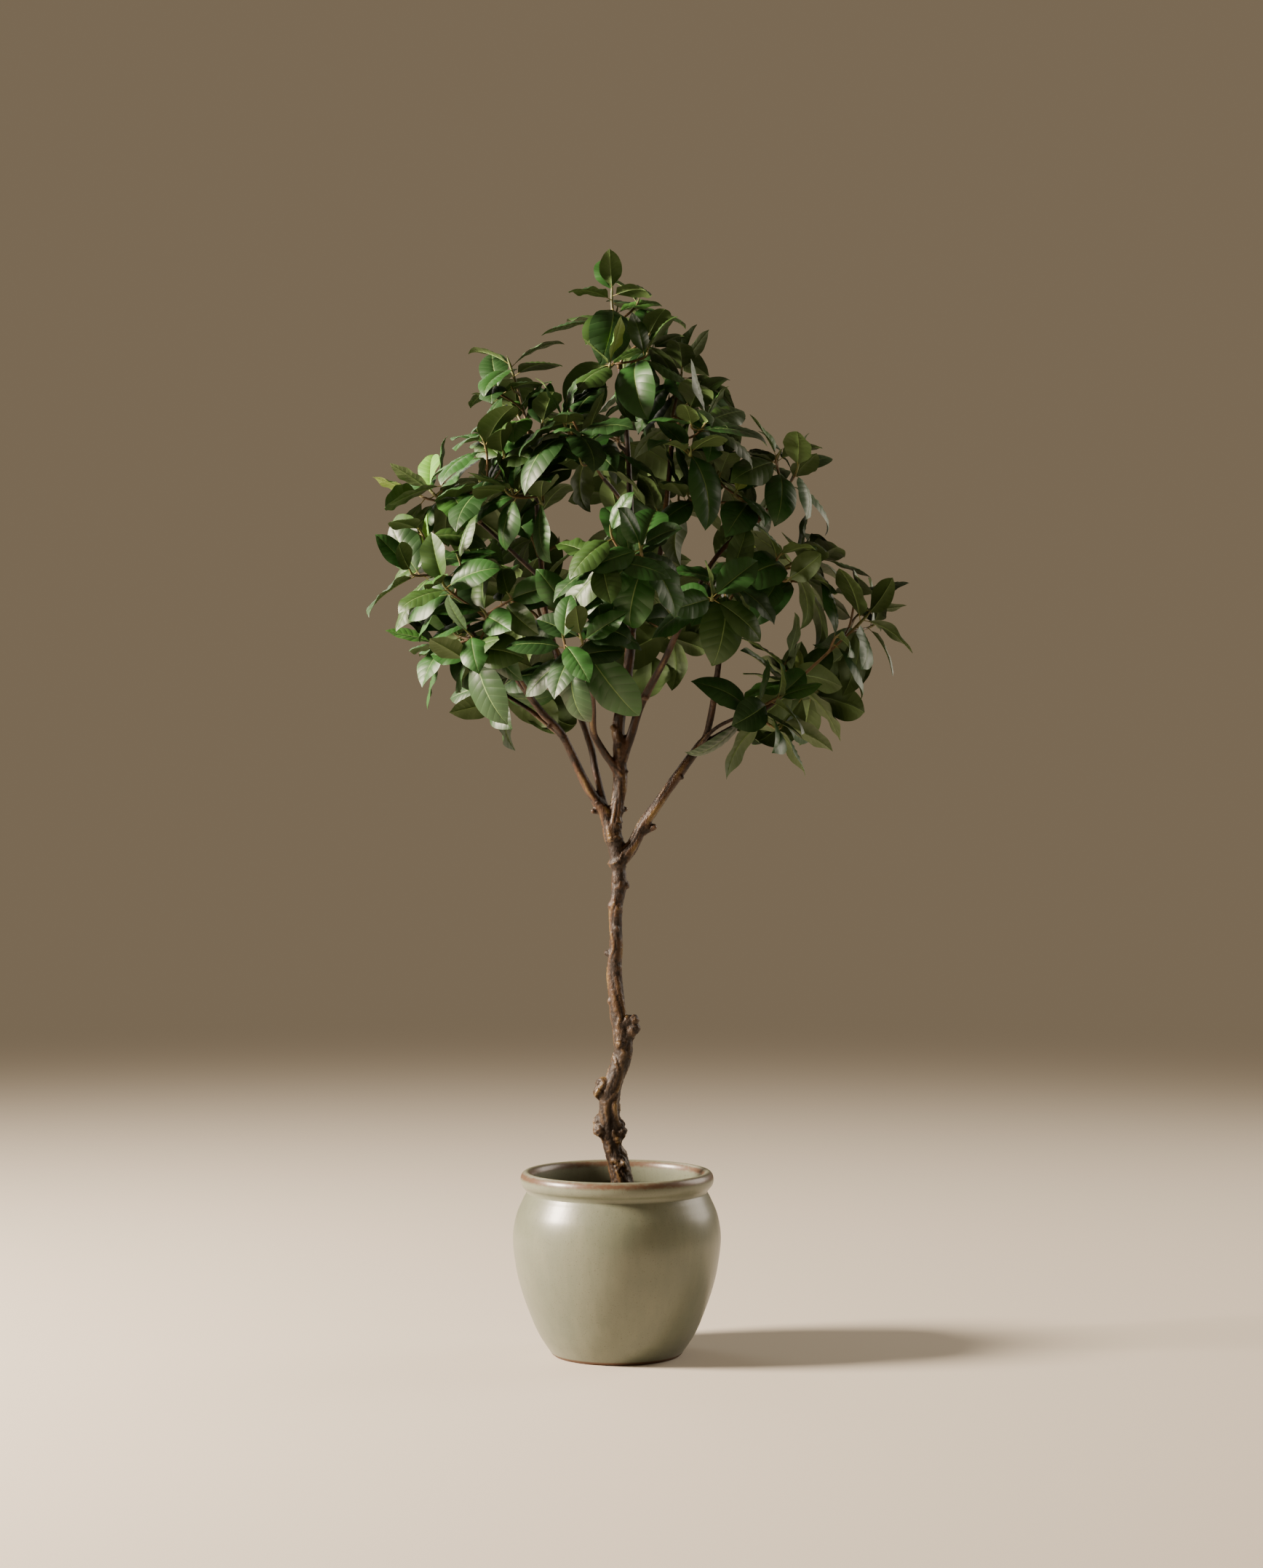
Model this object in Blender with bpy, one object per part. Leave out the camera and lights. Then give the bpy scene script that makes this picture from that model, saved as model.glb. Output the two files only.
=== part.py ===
# A potted ficus grown as a small standard tree: a glazed stoneware pot filled with soil, a knotty
# trunk, the boughs that fork from it and the masses of leaves that they carry.
# Metres, +Z up, the front towards -Y. The origin is the centre of the pot's flat underside.

import math
import random

import bmesh
import bpy
from mathutils import Matrix, Vector
from mathutils.bvhtree import BVHTree

# Clearances
GAP = 0.0003                 # between pieces that rest on or meet each other
TIP_GAP = 0.0004             # from the flat tip of a limb to what grows on from it
LEAF_AIR = 0.0012            # kept round every leaf
TWIG_AIR = 0.0005            # and round every twig

# Pot: (radius, height) of its outer wall from the foot to the neck
POT_SEGMENTS = 32
POT_WALL = ((0.1070, 0.003), (0.1285, 0.036), (0.1440, 0.072), (0.1565, 0.108), (0.1648, 0.143),
            (0.1701, 0.190), (0.1650, 0.226), (0.1552, 0.250), (0.1472, 0.266))
POT_FOOT_RADIUS = 0.1035
POT_WALL_THICKNESS = 0.010
POT_FLOOR = 0.016
POT_FLOOR_RADIUS = 0.1065    # of the flat floor inside
RIM_CENTRE = (0.1485, 0.2855)  # radius and height of the middle of the rolled rim
RIM_HALF = (0.0095, 0.0135)    # half its width and half its height
RIM_TURN = (-62, 242)        # degrees round the rim's section, from the neck outside to inside
RIM_STEPS = 6
POT_CREASE = 40              # degrees: edges sharper than this stay crisp
SOIL_TOP = 0.235
SOIL_DOME = 0.004
SOIL_CROWN_RADIUS = 0.060    # of the level soil round the trunk
SOIL_GAP = 0.0006            # to the pot's wall

# Trunk: (height, sideways, radius) from the soil to the fork; its depth sways a little too
TRUNK = ((0.2353, 0.0112, 0.0235), (0.262, 0.0107, 0.0190), (0.311, 0.0024, 0.0180),
         (0.338, -0.0077, 0.0155), (0.380, -0.0107, 0.0178), (0.4145, -0.0119, 0.0170),
         (0.449, -0.0036, 0.0146), (0.488, 0.0095, 0.0158), (0.524, 0.0085, 0.0145),
         (0.557, 0.0024, 0.0130), (0.630, -0.0036, 0.0120), (0.680, -0.0012, 0.0106),
         (0.730, -0.0012, 0.0112), (0.771, 0.0036, 0.0122), (0.801, 0.0012, 0.0118),
         (0.845, -0.0042, 0.0137), (0.868, -0.0040, 0.0140))
TRUNK_SWAY = 0.006           # how far it sways forward and back
TRUNK_SWAY_HEIGHT = 0.31     # height of one sway
TRUNK_SIDES = 11
TRUNK_STEPS = 3              # rings for each stretch of the table
# Healed branch collars: height, bearing round the trunk in degrees (0 is +X), how far each stands
# out and how tall it is
KNOTS = ((0.538, -10, 0.0190, 0.0120), (0.434, 187, 0.0160, 0.0120), (0.376, 173, 0.0115, 0.0150),
         (0.369, 3, 0.0100, 0.0130), (0.466, 80, 0.0070, 0.0110), (0.650, 178, 0.0085, 0.0080),
         (0.730, 185, 0.0050, 0.0080), (0.760, 0, 0.0070, 0.0080), (0.600, 100, 0.0050, 0.0090),
         (0.500, 250, 0.0060, 0.0100), (0.305, 300, 0.0050, 0.0110), (0.695, 270, 0.0040, 0.0080),
         (0.577, 180, 0.0040, 0.0090))
KNOT_TURN = 0.55             # how far round the trunk a collar reaches, in radians

# Boughs. Each leaves its parent at a fraction of the parent's length; at 1 it grows on from the
# flat tip. The way is the points it passes through, thick is its radius at its foot and tip.
BOUGHS = {
    "right_bough": dict(
        parent="trunk", at=0.895, thick=(0.0116, 0.0074),
        way=((0.025, 0.000, 0.829), (0.042, 0.000, 0.862), (0.079, 0.000, 0.917),
             (0.116, 0.000, 0.968), (0.1385, 0.000, 0.998))),
    "centre_limb": dict(
        parent="trunk", at=1, thick=(0.0112, 0.0118),
        way=((0.005, 0.000, 0.928), (0.005, -0.005, 0.995))),
    "left_limb": dict(
        parent="trunk", at=0.955, thick=(0.0122, 0.0095),
        way=((-0.020, 0.000, 0.884), (-0.034, 0.000, 0.904))),
    "leader": dict(
        parent="centre_limb", at=1, thick=(0.0105, 0.0052),
        way=((0.003, 0.000, 1.030), (0.021, 0.000, 1.142), (0.024, 0.010, 1.290),
             (0.020, 0.020, 1.436))),
    "leader_top": dict(
        parent="leader", at=1, thick=(0.0052, 0.0042),
        way=((0.014, 0.010, 1.530), (0.004, 0.000, 1.615))),
    "front_right_limb": dict(
        parent="centre_limb", at=0.80, thick=(0.0085, 0.0048),
        way=((0.022, -0.008, 1.008), (0.039, -0.015, 1.060), (0.078, -0.045, 1.134),
             (0.110, -0.075, 1.204))),
    "left_bough": dict(
        parent="left_limb", at=1, thick=(0.0086, 0.0055),
        way=((-0.058, -0.005, 0.946), (-0.090, -0.020, 1.013), (-0.124, -0.035, 1.050),
             (-0.163, -0.050, 1.104))),
    "inner_left": dict(
        parent="left_limb", at=0.38, thick=(0.0066, 0.0050),
        way=((-0.025, 0.008, 0.912), (-0.036, 0.014, 0.956), (-0.047, 0.022, 1.006),
             (-0.100, 0.040, 1.145), (-0.117, 0.045, 1.210))),
    "cross_limb": dict(
        parent="centre_limb", at=0.62, thick=(0.0072, 0.0044),
        way=((-0.023, -0.020, 0.986), (-0.038, -0.045, 1.016), (-0.038, -0.080, 1.056),
             (-0.042, -0.150, 1.115))),
    "right_riser": dict(
        parent="right_bough", at=1, thick=(0.0060, 0.0044),
        way=((0.152, -0.008, 1.034), (0.163, -0.030, 1.110), (0.176, -0.055, 1.215))),
    "right_arm": dict(
        parent="right_bough", at=0.95, thick=(0.0058, 0.0040),
        way=((0.154, -0.006, 1.003), (0.206, -0.020, 1.034), (0.250, -0.020, 1.060),
             (0.300, -0.020, 1.105))),
    "low_right_twig": dict(
        parent="right_bough", at=0.92, thick=(0.0040, 0.0030),
        way=((0.158, -0.024, 1.020), (0.198, -0.045, 1.041))),
    "upper_right": dict(
        parent="front_right_limb", at=1, thick=(0.0052, 0.0040),
        way=((0.162, -0.060, 1.300), (0.230, -0.030, 1.362))),
    "leader_right": dict(
        parent="leader", at=0.42, thick=(0.0056, 0.0042),
        way=((0.068, -0.005, 1.297), (0.082, -0.020, 1.400), (0.092, -0.025, 1.520))),
    "front_twig": dict(
        parent="leader", at=0.47, thick=(0.0046, 0.0034),
        way=((0.040, -0.080, 1.245), (0.040, -0.185, 1.262))),
    "upper_front_twig": dict(
        parent="leader", at=0.80, thick=(0.0042, 0.0032),
        way=((0.005, -0.020, 1.395), (-0.022, -0.065, 1.425))),
    "upper_back_twig": dict(
        parent="leader_top", at=0.15, thick=(0.0040, 0.0032),
        way=((0.014, 0.040, 1.480), (0.006, 0.065, 1.490))),
    "back_limb": dict(
        parent="leader", at=0.30, thick=(0.0056, 0.0044),
        way=((0.020, 0.080, 1.200), (0.026, 0.160, 1.300))),
    "back_right_limb": dict(
        parent="front_right_limb", at=0.42, thick=(0.0054, 0.0040),
        way=((0.090, 0.040, 1.160), (0.110, 0.120, 1.215))),
    "left_bough_outer": dict(
        parent="left_bough", at=1, thick=(0.0056, 0.0040),
        way=((-0.219, -0.060, 1.158), (-0.237, -0.064, 1.181), (-0.262, -0.070, 1.230))),
    "left_front_limb": dict(
        parent="left_bough", at=0.80, thick=(0.0044, 0.0034),
        way=((-0.165, -0.085, 1.115), (-0.195, -0.115, 1.150))),
    "lower_left": dict(
        parent="left_bough", at=0.48, thick=(0.0046, 0.0036),
        way=((-0.140, 0.000, 1.050), (-0.190, 0.025, 1.082))),
    "left_riser": dict(
        parent="inner_left", at=1, thick=(0.0050, 0.0042),
        way=((-0.123, 0.038, 1.270), (-0.130, 0.020, 1.360), (-0.134, 0.005, 1.440))),
    "left_high_limb": dict(
        parent="left_riser", at=0.25, thick=(0.0044, 0.0036),
        way=((-0.170, 0.000, 1.310), (-0.225, -0.010, 1.360))),
    "back_left_limb": dict(
        parent="inner_left", at=0.40, thick=(0.0048, 0.0040),
        way=((-0.090, 0.090, 1.130), (-0.130, 0.150, 1.210))),
}
BOUGH_SIDES = 7
TWIG_BOUGH_SIDES = 6         # on a bough under THIN at its foot
THIN = 0.0058
BOUGH_STEPS = 8              # points on its line for each stretch of the way
BOUGH_RING = 0.032           # distance between the rings of a bough
BOUGH_TAPER = 0.8            # under 1, a bough thins faster near its foot
CUTTER_SWELL = 1.2           # a cutting shape's flats lie nearer its axis than its corners
BARK_CREASE = 50             # degrees: edges sharper than this stay crisp

# Masses of foliage. The bough carries the mass, centre is its main rosette, spread is how far its
# other rosettes lie from that on each axis, hang is how many degrees more than usual its leaves
# open and droop, and each rosette grows from a seed of its own.
MASSES = {
    "crown_tip": dict(bough="leader_top", centre=(-0.008, 0.000, 1.738), spread=(0.03, 0.04, 0.04),
                      hang=0, seeds=(1694, 993)),
    "high_right": dict(bough="leader_top", centre=(0.054, 0.000, 1.672), spread=(0.05, 0.05, 0.05),
                       hang=0, seeds=(1784, 453)),
    "high_front": dict(bough="leader_top", centre=(-0.011, -0.070, 1.608), spread=(0.06, 0.04, 0.05),
                       hang=0, seeds=(1401, 89)),
    "right_shoulder": dict(bough="leader_right", centre=(0.106, 0.020, 1.620),
                           spread=(0.05, 0.05, 0.05), hang=0, seeds=(206, 445)),
    "right_peak": dict(bough="leader_right", centre=(0.150, -0.010, 1.520),
                       spread=(0.05, 0.05, 0.05), hang=0, seeds=(1300, 245, 384)),
    "right_front": dict(bough="leader_right", centre=(0.118, -0.130, 1.459),
                        spread=(0.05, 0.05, 0.05), hang=0, seeds=(1754, 530)),
    "upper_heart": dict(bough="upper_back_twig", centre=(0.002, 0.110, 1.520),
                        spread=(0.06, 0.05, 0.05), hang=0, seeds=(1300, 1307, 948)),
    "upper_front": dict(bough="upper_front_twig", centre=(-0.050, -0.110, 1.480),
                        spread=(0.05, 0.05, 0.05), hang=0, seeds=(357, 680, 195)),
    "front_heart": dict(bough="front_twig", centre=(0.037, -0.260, 1.300), spread=(0.06, 0.03, 0.05),
                        hang=0, seeds=(79, 454, 841)),
    "front_skirt": dict(bough="cross_limb", centre=(-0.055, -0.230, 1.160),
                        spread=(0.06, 0.05, 0.04), hang=10, seeds=(35, 1450, 1202)),
    "left_heart": dict(bough="left_riser", centre=(-0.122, -0.110, 1.383),
                       spread=(0.05, 0.04, 0.07), hang=0, seeds=(795, 61, 161)),
    "upper_left": dict(bough="left_riser", centre=(-0.121, -0.040, 1.517), spread=(0.05, 0.05, 0.04),
                       hang=0, seeds=(1200, 1601)),
    "left_peak": dict(bough="left_riser", centre=(-0.176, 0.000, 1.620), spread=(0.03, 0.04, 0.06),
                      hang=0, seeds=(99, 851, 1670)),
    "left_tip": dict(bough="left_high_limb", centre=(-0.306, 0.000, 1.413),
                     spread=(0.04, 0.04, 0.05), hang=0, seeds=(1259, 1300, 1361)),
    "left_inner": dict(bough="left_high_limb", centre=(-0.210, -0.070, 1.425),
                       spread=(0.05, 0.05, 0.06), hang=0, seeds=(183, 692, 731)),
    "left_wing": dict(bough="left_bough_outer", centre=(-0.300, -0.050, 1.293),
                      spread=(0.05, 0.05, 0.05), hang=5, seeds=(243, 955, 1370)),
    "left_low": dict(bough="left_front_limb", centre=(-0.262, -0.080, 1.175),
                     spread=(0.05, 0.04, 0.04), hang=20, seeds=(1645, 1652)),
    "left_front": dict(bough="left_front_limb", centre=(-0.210, -0.165, 1.205),
                       spread=(0.06, 0.04, 0.07), hang=10, seeds=(1510, 229, 383, 762)),
    "low_left": dict(bough="lower_left", centre=(-0.208, 0.050, 1.092), spread=(0.06, 0.06, 0.03),
                     hang=40, seeds=(1596, 288, 89)),
    "back_left": dict(bough="back_left_limb", centre=(-0.200, 0.200, 1.260),
                      spread=(0.07, 0.05, 0.06), hang=15, seeds=(1146, 1594, 1870)),
    "back_left_high": dict(bough="back_left_limb", centre=(-0.135, 0.190, 1.405),
                           spread=(0.06, 0.06, 0.06), hang=0, seeds=(50, 982, 1309)),
    "back_high": dict(bough="back_limb", centre=(0.020, 0.210, 1.435), spread=(0.07, 0.05, 0.07),
                      hang=0, seeds=(300, 1056, 350)),
    "back_middle": dict(bough="back_limb", centre=(0.005, 0.280, 1.280), spread=(0.07, 0.04, 0.06),
                        hang=10, seeds=(1856, 1544, 1315)),
    "back_right": dict(bough="back_right_limb", centre=(0.165, 0.200, 1.315),
                       spread=(0.06, 0.06, 0.07), hang=5, seeds=(825, 1873, 880)),
    "back_low": dict(bough="back_right_limb", centre=(0.090, 0.180, 1.180),
                     spread=(0.06, 0.05, 0.04), hang=25, seeds=(1216, 254)),
    "right_middle": dict(bough="right_riser", centre=(0.180, -0.120, 1.255),
                         spread=(0.06, 0.05, 0.04), hang=10, seeds=(740, 135)),
    "right_out": dict(bough="right_riser", centre=(0.295, -0.020, 1.300), spread=(0.06, 0.06, 0.05),
                      hang=10, seeds=(250, 1082, 1628)),
    "right_high": dict(bough="upper_right", centre=(0.290, 0.000, 1.440), spread=(0.03, 0.06, 0.06),
                       hang=0, seeds=(1320, 788, 1962)),
    "right_inner": dict(bough="upper_right", centre=(0.190, -0.060, 1.400),
                        spread=(0.06, 0.05, 0.05), hang=0, seeds=(795, 1312, 1537)),
    "right_low": dict(bough="low_right_twig", centre=(0.225, -0.075, 1.052),
                      spread=(0.05, 0.03, 0.03), hang=30, seeds=(73, 177, 1214)),
    "right_low_back": dict(bough="right_arm", centre=(0.297, 0.060, 1.093),
                           spread=(0.05, 0.04, 0.03), hang=30, seeds=(1274, 460, 571)),
    "far_right": dict(bough="right_arm", centre=(0.410, 0.000, 1.208), spread=(0.05, 0.05, 0.05),
                      hang=15, seeds=(622, 497, 1614)),
}
REACH = 0.22                 # radius of the space round its centre that a mass keeps to
CROWN_HEART = (0.010, 0.000, 1.250)
STRAY = (0.75, 1.35)         # how far out in its mass a rosette lies, as a share of the spread

# Twigs: the stem of a mass is its first twig, and the others branch from it
SEAT_RADIUS = 0.0027         # circle that the stems sharing one tip stand on
STEM_RADIUS = 0.0022         # of a mass's stem where it meets its bough
STEM_STEPS = 5
TWIG_RADIUS = 0.0019         # of a twig under its rosette
TWIG_STEPS = 3
TWIG_SIDES = 3
TWIG_FORK = (0.40, 0.15)     # where the first twig leaves the stem, and each further one after it
TWIG_OUT = 0.80              # how much a twig's end turns away from the crown's heart,
TWIG_RISE = 0.60             # upwards,
TWIG_LEAN = 0.45             # and by chance
TWIG_AIM = 1.5               # how much a twig starts towards its rosette, its stem's way being 1
TWIG_SETTLE = 0.8            # how firmly it turns to its end's direction
TWIG_SWAY = 0.004            # how much further a twig swings out on each new try
TWIG_TRIES = 8

# Leaves: a rosette's leaves run from the oldest, lowest and longest to the youngest
LEAVES = (4, 5, 5, 6)        # in a rosette, drawn by its seed
LEAF_LENGTH = 0.132          # of the oldest leaf, with its stalk
LEAF_YOUNG = 0.68            # the youngest leaf's length as a share of that
LEAF_WIDTH = 0.48            # as a share of the length
LEAF_THICKNESS = 0.020       # as a share of the length
LEAF_FOLD = 0.10             # how far the edges rise, as a share of the half width
LEAF_SINK = 0.0006           # how far a leaf's pointed root lies past the middle of its twig
LEAF_ROOT = 0.30             # share of the neck's length where leaves of one mass may cross
LEAF_OPEN = (104, 34)        # degrees from the twig, oldest and youngest
LEAF_SKY = 0.55              # how much a leaf turns its face to the sky,
LEAF_SUN = 0.70              # and out of the crown
LEAF_INNER = 0.5             # and towards the tip of the twig that bears it
LEAF_OPEN_STRAY = 0.35       # how far chance opens or closes a leaf, in radians,
LEAF_TURN_STRAY = 0.25       # turns it round the twig,
LEAF_ROLL_STRAY = 0.45       # rolls it about its own midrib,
LEAF_SIZE_STRAY = (0.85, 1.12)
LEAF_WIDTH_STRAY = (0.9, 1.1)
LEAF_BEND_STRAY = (0.5, 1.5)
LEAF_LOOSER = 0.04           # added to the first two for each new try at placing a leaf
LEAF_SMALLER = 0.012         # and taken off its length
LEAF_BEND = (70, 24)         # degrees that a leaf curves down over its length
LEAF_PITCH = 0.026           # length of twig that a rosette's leaves sit along
LEAF_TOP = 0.003             # from the youngest leaf's root to the twig's tip
LEAF_SECTIONS = ((0.12, 0.10), (0.50, 1.28))  # place along it and share of its half width
LEAF_TRIES = 24
GOLDEN_ANGLE = math.radians(137.508)

COLOURS = {
    "glaze": ((0.36, 0.38, 0.31), 0.35),
    "soil": ((0.05, 0.035, 0.025), 0.95),
    "bark": ((0.16, 0.085, 0.045), 0.75),
    "leaf": ((0.035, 0.10, 0.025), 0.35),
}


def clear_scene():
    for item in list(bpy.data.objects):
        bpy.data.objects.remove(item, do_unlink=True)


def material(name):
    found = bpy.data.materials.get(name)
    if found:
        return found
    made = bpy.data.materials.new(name)
    made.use_nodes = True
    colour, roughness = COLOURS[name]
    shader = made.node_tree.nodes["Principled BSDF"]
    shader.inputs["Base Color"].default_value = (*colour, 1)
    shader.inputs["Roughness"].default_value = roughness
    shader.inputs["Metallic"].default_value = 0
    return made


def solid(name, verts, faces, finish):
    """A closed body from its points and faces, with its normals turned outwards."""
    mesh = bpy.data.meshes.new(name)
    form = bmesh.new()
    points = [form.verts.new(v) for v in verts]
    for face in faces:
        form.faces.new([points[i] for i in face])
    bmesh.ops.recalc_face_normals(form, faces=form.faces)
    form.to_mesh(mesh)
    form.free()
    mesh.materials.append(material(finish))
    made = bpy.data.objects.new(name, mesh)
    bpy.context.scene.collection.objects.link(made)
    return made


def smooth_path(points, steps, start=None):
    """A Catmull-Rom curve through the points; start, where given, is its first direction."""
    points = [Vector(p) for p in points]
    before = 2 * points[0] - points[1]
    if start:
        before = points[1] - 2 * start.normalized() * (points[1] - points[0]).length
    ends = [before, *points, 2 * points[-1] - points[-2]]
    path = [points[0]]
    for a, b, c, d in zip(ends, ends[1:], ends[2:], ends[3:]):
        for k in range(1, steps + 1):
            t = k / steps
            path.append(0.5 * (2 * b + (c - a) * t + (2 * a - 5 * b + 4 * c - d) * t ** 2
                               + (3 * b - a - 3 * c + d) * t ** 3))
    return path


def directions(path):
    ahead = [b - a for a, b in zip(path, path[1:])]
    joined = [ahead[0], *[a.normalized() + b.normalized() for a, b in zip(ahead, ahead[1:])], ahead[-1]]
    return [d.normalized() for d in joined]


def frames(path, first=None):
    """Direction and two sideways vectors at each point of a path, carried along without twist."""
    ways = directions(path)
    if first:
        ways[0] = first.normalized()
    side = ways[0].cross(Vector((0, 1, 0)))
    if side.length < 0.1:
        side = ways[0].cross(Vector((1, 0, 0)))
    side.normalize()
    found = []
    for way in ways:
        side = (side - way * side.dot(way)).normalized()
        found.append((way, side, way.cross(side)))
    return found


def tube(path, radii, sides, first=None, bulge=None):
    """Points and faces of a closed tube; bulge adds to the radius by place and bearing."""
    verts = []
    for point, radius, (_, side, up) in zip(path, radii, frames(path, first)):
        for k in range(sides):
            turn = math.tau * k / sides
            out = side * math.cos(turn) + up * math.sin(turn)
            grown = radius + (bulge(point, out) if bulge else 0)
            verts.append(point + out * grown)
    faces = []
    for ring in range(len(path) - 1):
        for k in range(sides):
            a = ring * sides + k
            b = ring * sides + (k + 1) % sides
            faces.append((a, b, b + sides, a + sides))
    faces.append(tuple(reversed(range(sides))))
    faces.append(tuple(range(len(verts) - sides, len(verts))))
    return verts, faces


def turned(name, profile, segments, finish):
    """A solid of revolution from (radius, height) points that start and end on the axis."""
    verts = []
    rings = []
    for radius, height in profile:
        if radius == 0:
            rings.append([len(verts)] * segments)
            verts.append((0, 0, height))
            continue
        rings.append([len(verts) + k for k in range(segments)])
        for k in range(segments):
            turn = math.tau * k / segments
            verts.append((radius * math.cos(turn), radius * math.sin(turn), height))
    faces = []
    for low, high in zip(rings, rings[1:]):
        for k in range(segments):
            after = (k + 1) % segments
            corners = dict.fromkeys((low[k], low[after], high[after], high[k]))
            faces.append(tuple(corners))
    made = solid(name, verts, faces, finish)
    made.data.shade_smooth()
    made.data.set_sharp_from_angle(angle=math.radians(POT_CREASE))
    return made


def pot_inner():
    """The inner wall from the floor to the neck: every second station of the outer wall."""
    return [(r - POT_WALL_THICKNESS, z) for r, z in (*POT_WALL[1::2], POT_WALL[-1])]


def inner_radius(height):
    """The radius of the pot's inner wall at a height."""
    for (r0, z0), (r1, z1) in zip(pot_inner(), pot_inner()[1:]):
        if z0 <= height <= z1:
            return r0 + (r1 - r0) * (height - z0) / (z1 - z0)


def build_pot():
    rim = []
    for k in range(RIM_STEPS + 1):
        turn = math.radians(RIM_TURN[0] + (RIM_TURN[1] - RIM_TURN[0]) * k / RIM_STEPS)
        rim.append((RIM_CENTRE[0] + RIM_HALF[0] * math.cos(turn),
                    RIM_CENTRE[1] + RIM_HALF[1] * math.sin(turn)))
    floor = (POT_FLOOR_RADIUS, POT_FLOOR)
    profile = [(0, 0), (POT_FOOT_RADIUS, 0), *POT_WALL, *rim, *reversed(pot_inner()), floor,
               (0, POT_FLOOR)]
    return turned("pot", profile, POT_SEGMENTS, "glaze")


def build_soil():
    """The soil fills the pot, a gap clear of its wall, with a low dome."""
    side = [(r - SOIL_GAP, z) for r, z in pot_inner() if z < SOIL_TOP - SOIL_DOME]
    foot = (POT_FLOOR_RADIUS - SOIL_GAP, POT_FLOOR + GAP)
    edge = (inner_radius(SOIL_TOP) - SOIL_GAP, SOIL_TOP - SOIL_DOME)
    profile = [(0, POT_FLOOR + GAP), foot, *side, edge, (SOIL_CROWN_RADIUS, SOIL_TOP), (0, SOIL_TOP)]
    return turned("soil", profile, POT_SEGMENTS, "soil")


def knot_bulge(point, out):
    """How far a healed collar lifts the bark at a point of the trunk."""
    bearing = math.atan2(out.y, out.x)
    lift = 0
    for height, degrees, stand, tall in KNOTS:
        turn = (bearing - math.radians(degrees) + math.pi) % math.tau - math.pi
        lift += stand * math.exp(-(((point.z - height) / tall) ** 2) - (turn / KNOT_TURN) ** 2)
    return lift


def trunk_line():
    """Centre line and radii of the trunk."""
    stations = []
    for height, sideways, _ in TRUNK:
        sway = TRUNK_SWAY * math.sin(math.tau * (height - SOIL_TOP) / TRUNK_SWAY_HEIGHT)
        stations.append((sideways, sway * (1 - height), height))
    path = smooth_path(stations, TRUNK_STEPS)
    widths = smooth_path([(r, 0, 0) for _, _, r in TRUNK], TRUNK_STEPS)
    return path, [w.x for w in widths]


def lengths(path):
    """Distance along a path at each of its points."""
    run = [0]
    for a, b in zip(path, path[1:]):
        run.append(run[-1] + (b - a).length)
    return run


def point_at(path, share):
    """The point at a share of a path's length."""
    run = lengths(path)
    wanted = share * run[-1]
    for a, b, low, high in zip(path, path[1:], run, run[1:]):
        if wanted <= high:
            return a.lerp(b, (wanted - low) / (high - low))
    return path[-1].copy()


def bough_line(bough, parent_path):
    """Centre line, radii and first direction of a bough."""
    start = None
    foot = point_at(parent_path, bough["at"])
    if bough["at"] == 1:
        start = directions(parent_path)[-1]
        foot = parent_path[-1] + start * TIP_GAP
    rough = smooth_path([foot, *bough["way"]], BOUGH_STEPS, start)
    count = max(3, round(lengths(rough)[-1] / BOUGH_RING))
    path = [point_at(rough, k / count) for k in range(count + 1)]
    low, high = bough["thick"]
    radii = [low + (high - low) * (k / count) ** BOUGH_TAPER for k in range(count + 1)]
    return path, radii, start


def limb_shape(line, swell=0):
    """Points and faces of a limb; swell makes it larger all round, for cutting what meets it."""
    path, radii, start, sides = line
    ways = directions(path)
    longer = [path[0] - ways[0] * swell, *path[1:-1], path[-1] + ways[-1] * swell]
    bulge = knot_bulge if sides == TRUNK_SIDES else None
    return tube(longer, [r + swell * CUTTER_SWELL for r in radii], sides, start, bulge)


def cut(piece, cutter):
    """Take the cutter's shape away from the piece and apply it."""
    cutter.hide_render = True
    cutter.display_type = "WIRE"
    boolean = piece.modifiers.new("cut", "BOOLEAN")
    boolean.operation = "DIFFERENCE"
    boolean.object = cutter
    apply_modifiers(piece)
    bpy.data.objects.remove(cutter, do_unlink=True)


def apply_modifiers(piece):
    shape = bpy.data.meshes.new_from_object(
        piece.evaluated_get(bpy.context.evaluated_depsgraph_get()))
    piece.modifiers.clear()
    piece.data = shape
    piece.data.name = piece.name


def keep_largest(piece):
    """Drop loose scraps and the walls of sealed hollows: all but the largest shell."""
    form = bmesh.new()
    form.from_mesh(piece.data)
    left = set(form.verts)
    shells = []
    while left:
        shell = set()
        edge = [left.pop()]
        while edge:
            vert = edge.pop()
            shell.add(vert)
            for link in vert.link_edges:
                other = link.other_vert(vert)
                if other in left:
                    left.discard(other)
                    edge.append(other)
        shells.append(shell)
    shells.sort(key=len, reverse=True)
    for shell in shells[1:]:
        bmesh.ops.delete(form, geom=list(shell), context="VERTS")
    form.to_mesh(piece.data)
    form.free()


def tree_of(piece):
    """A search tree of an object's faces, for finding what touches it."""
    mesh = piece.data
    return BVHTree.FromPolygons([v.co for v in mesh.vertices], [p.vertices for p in mesh.polygons])


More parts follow.
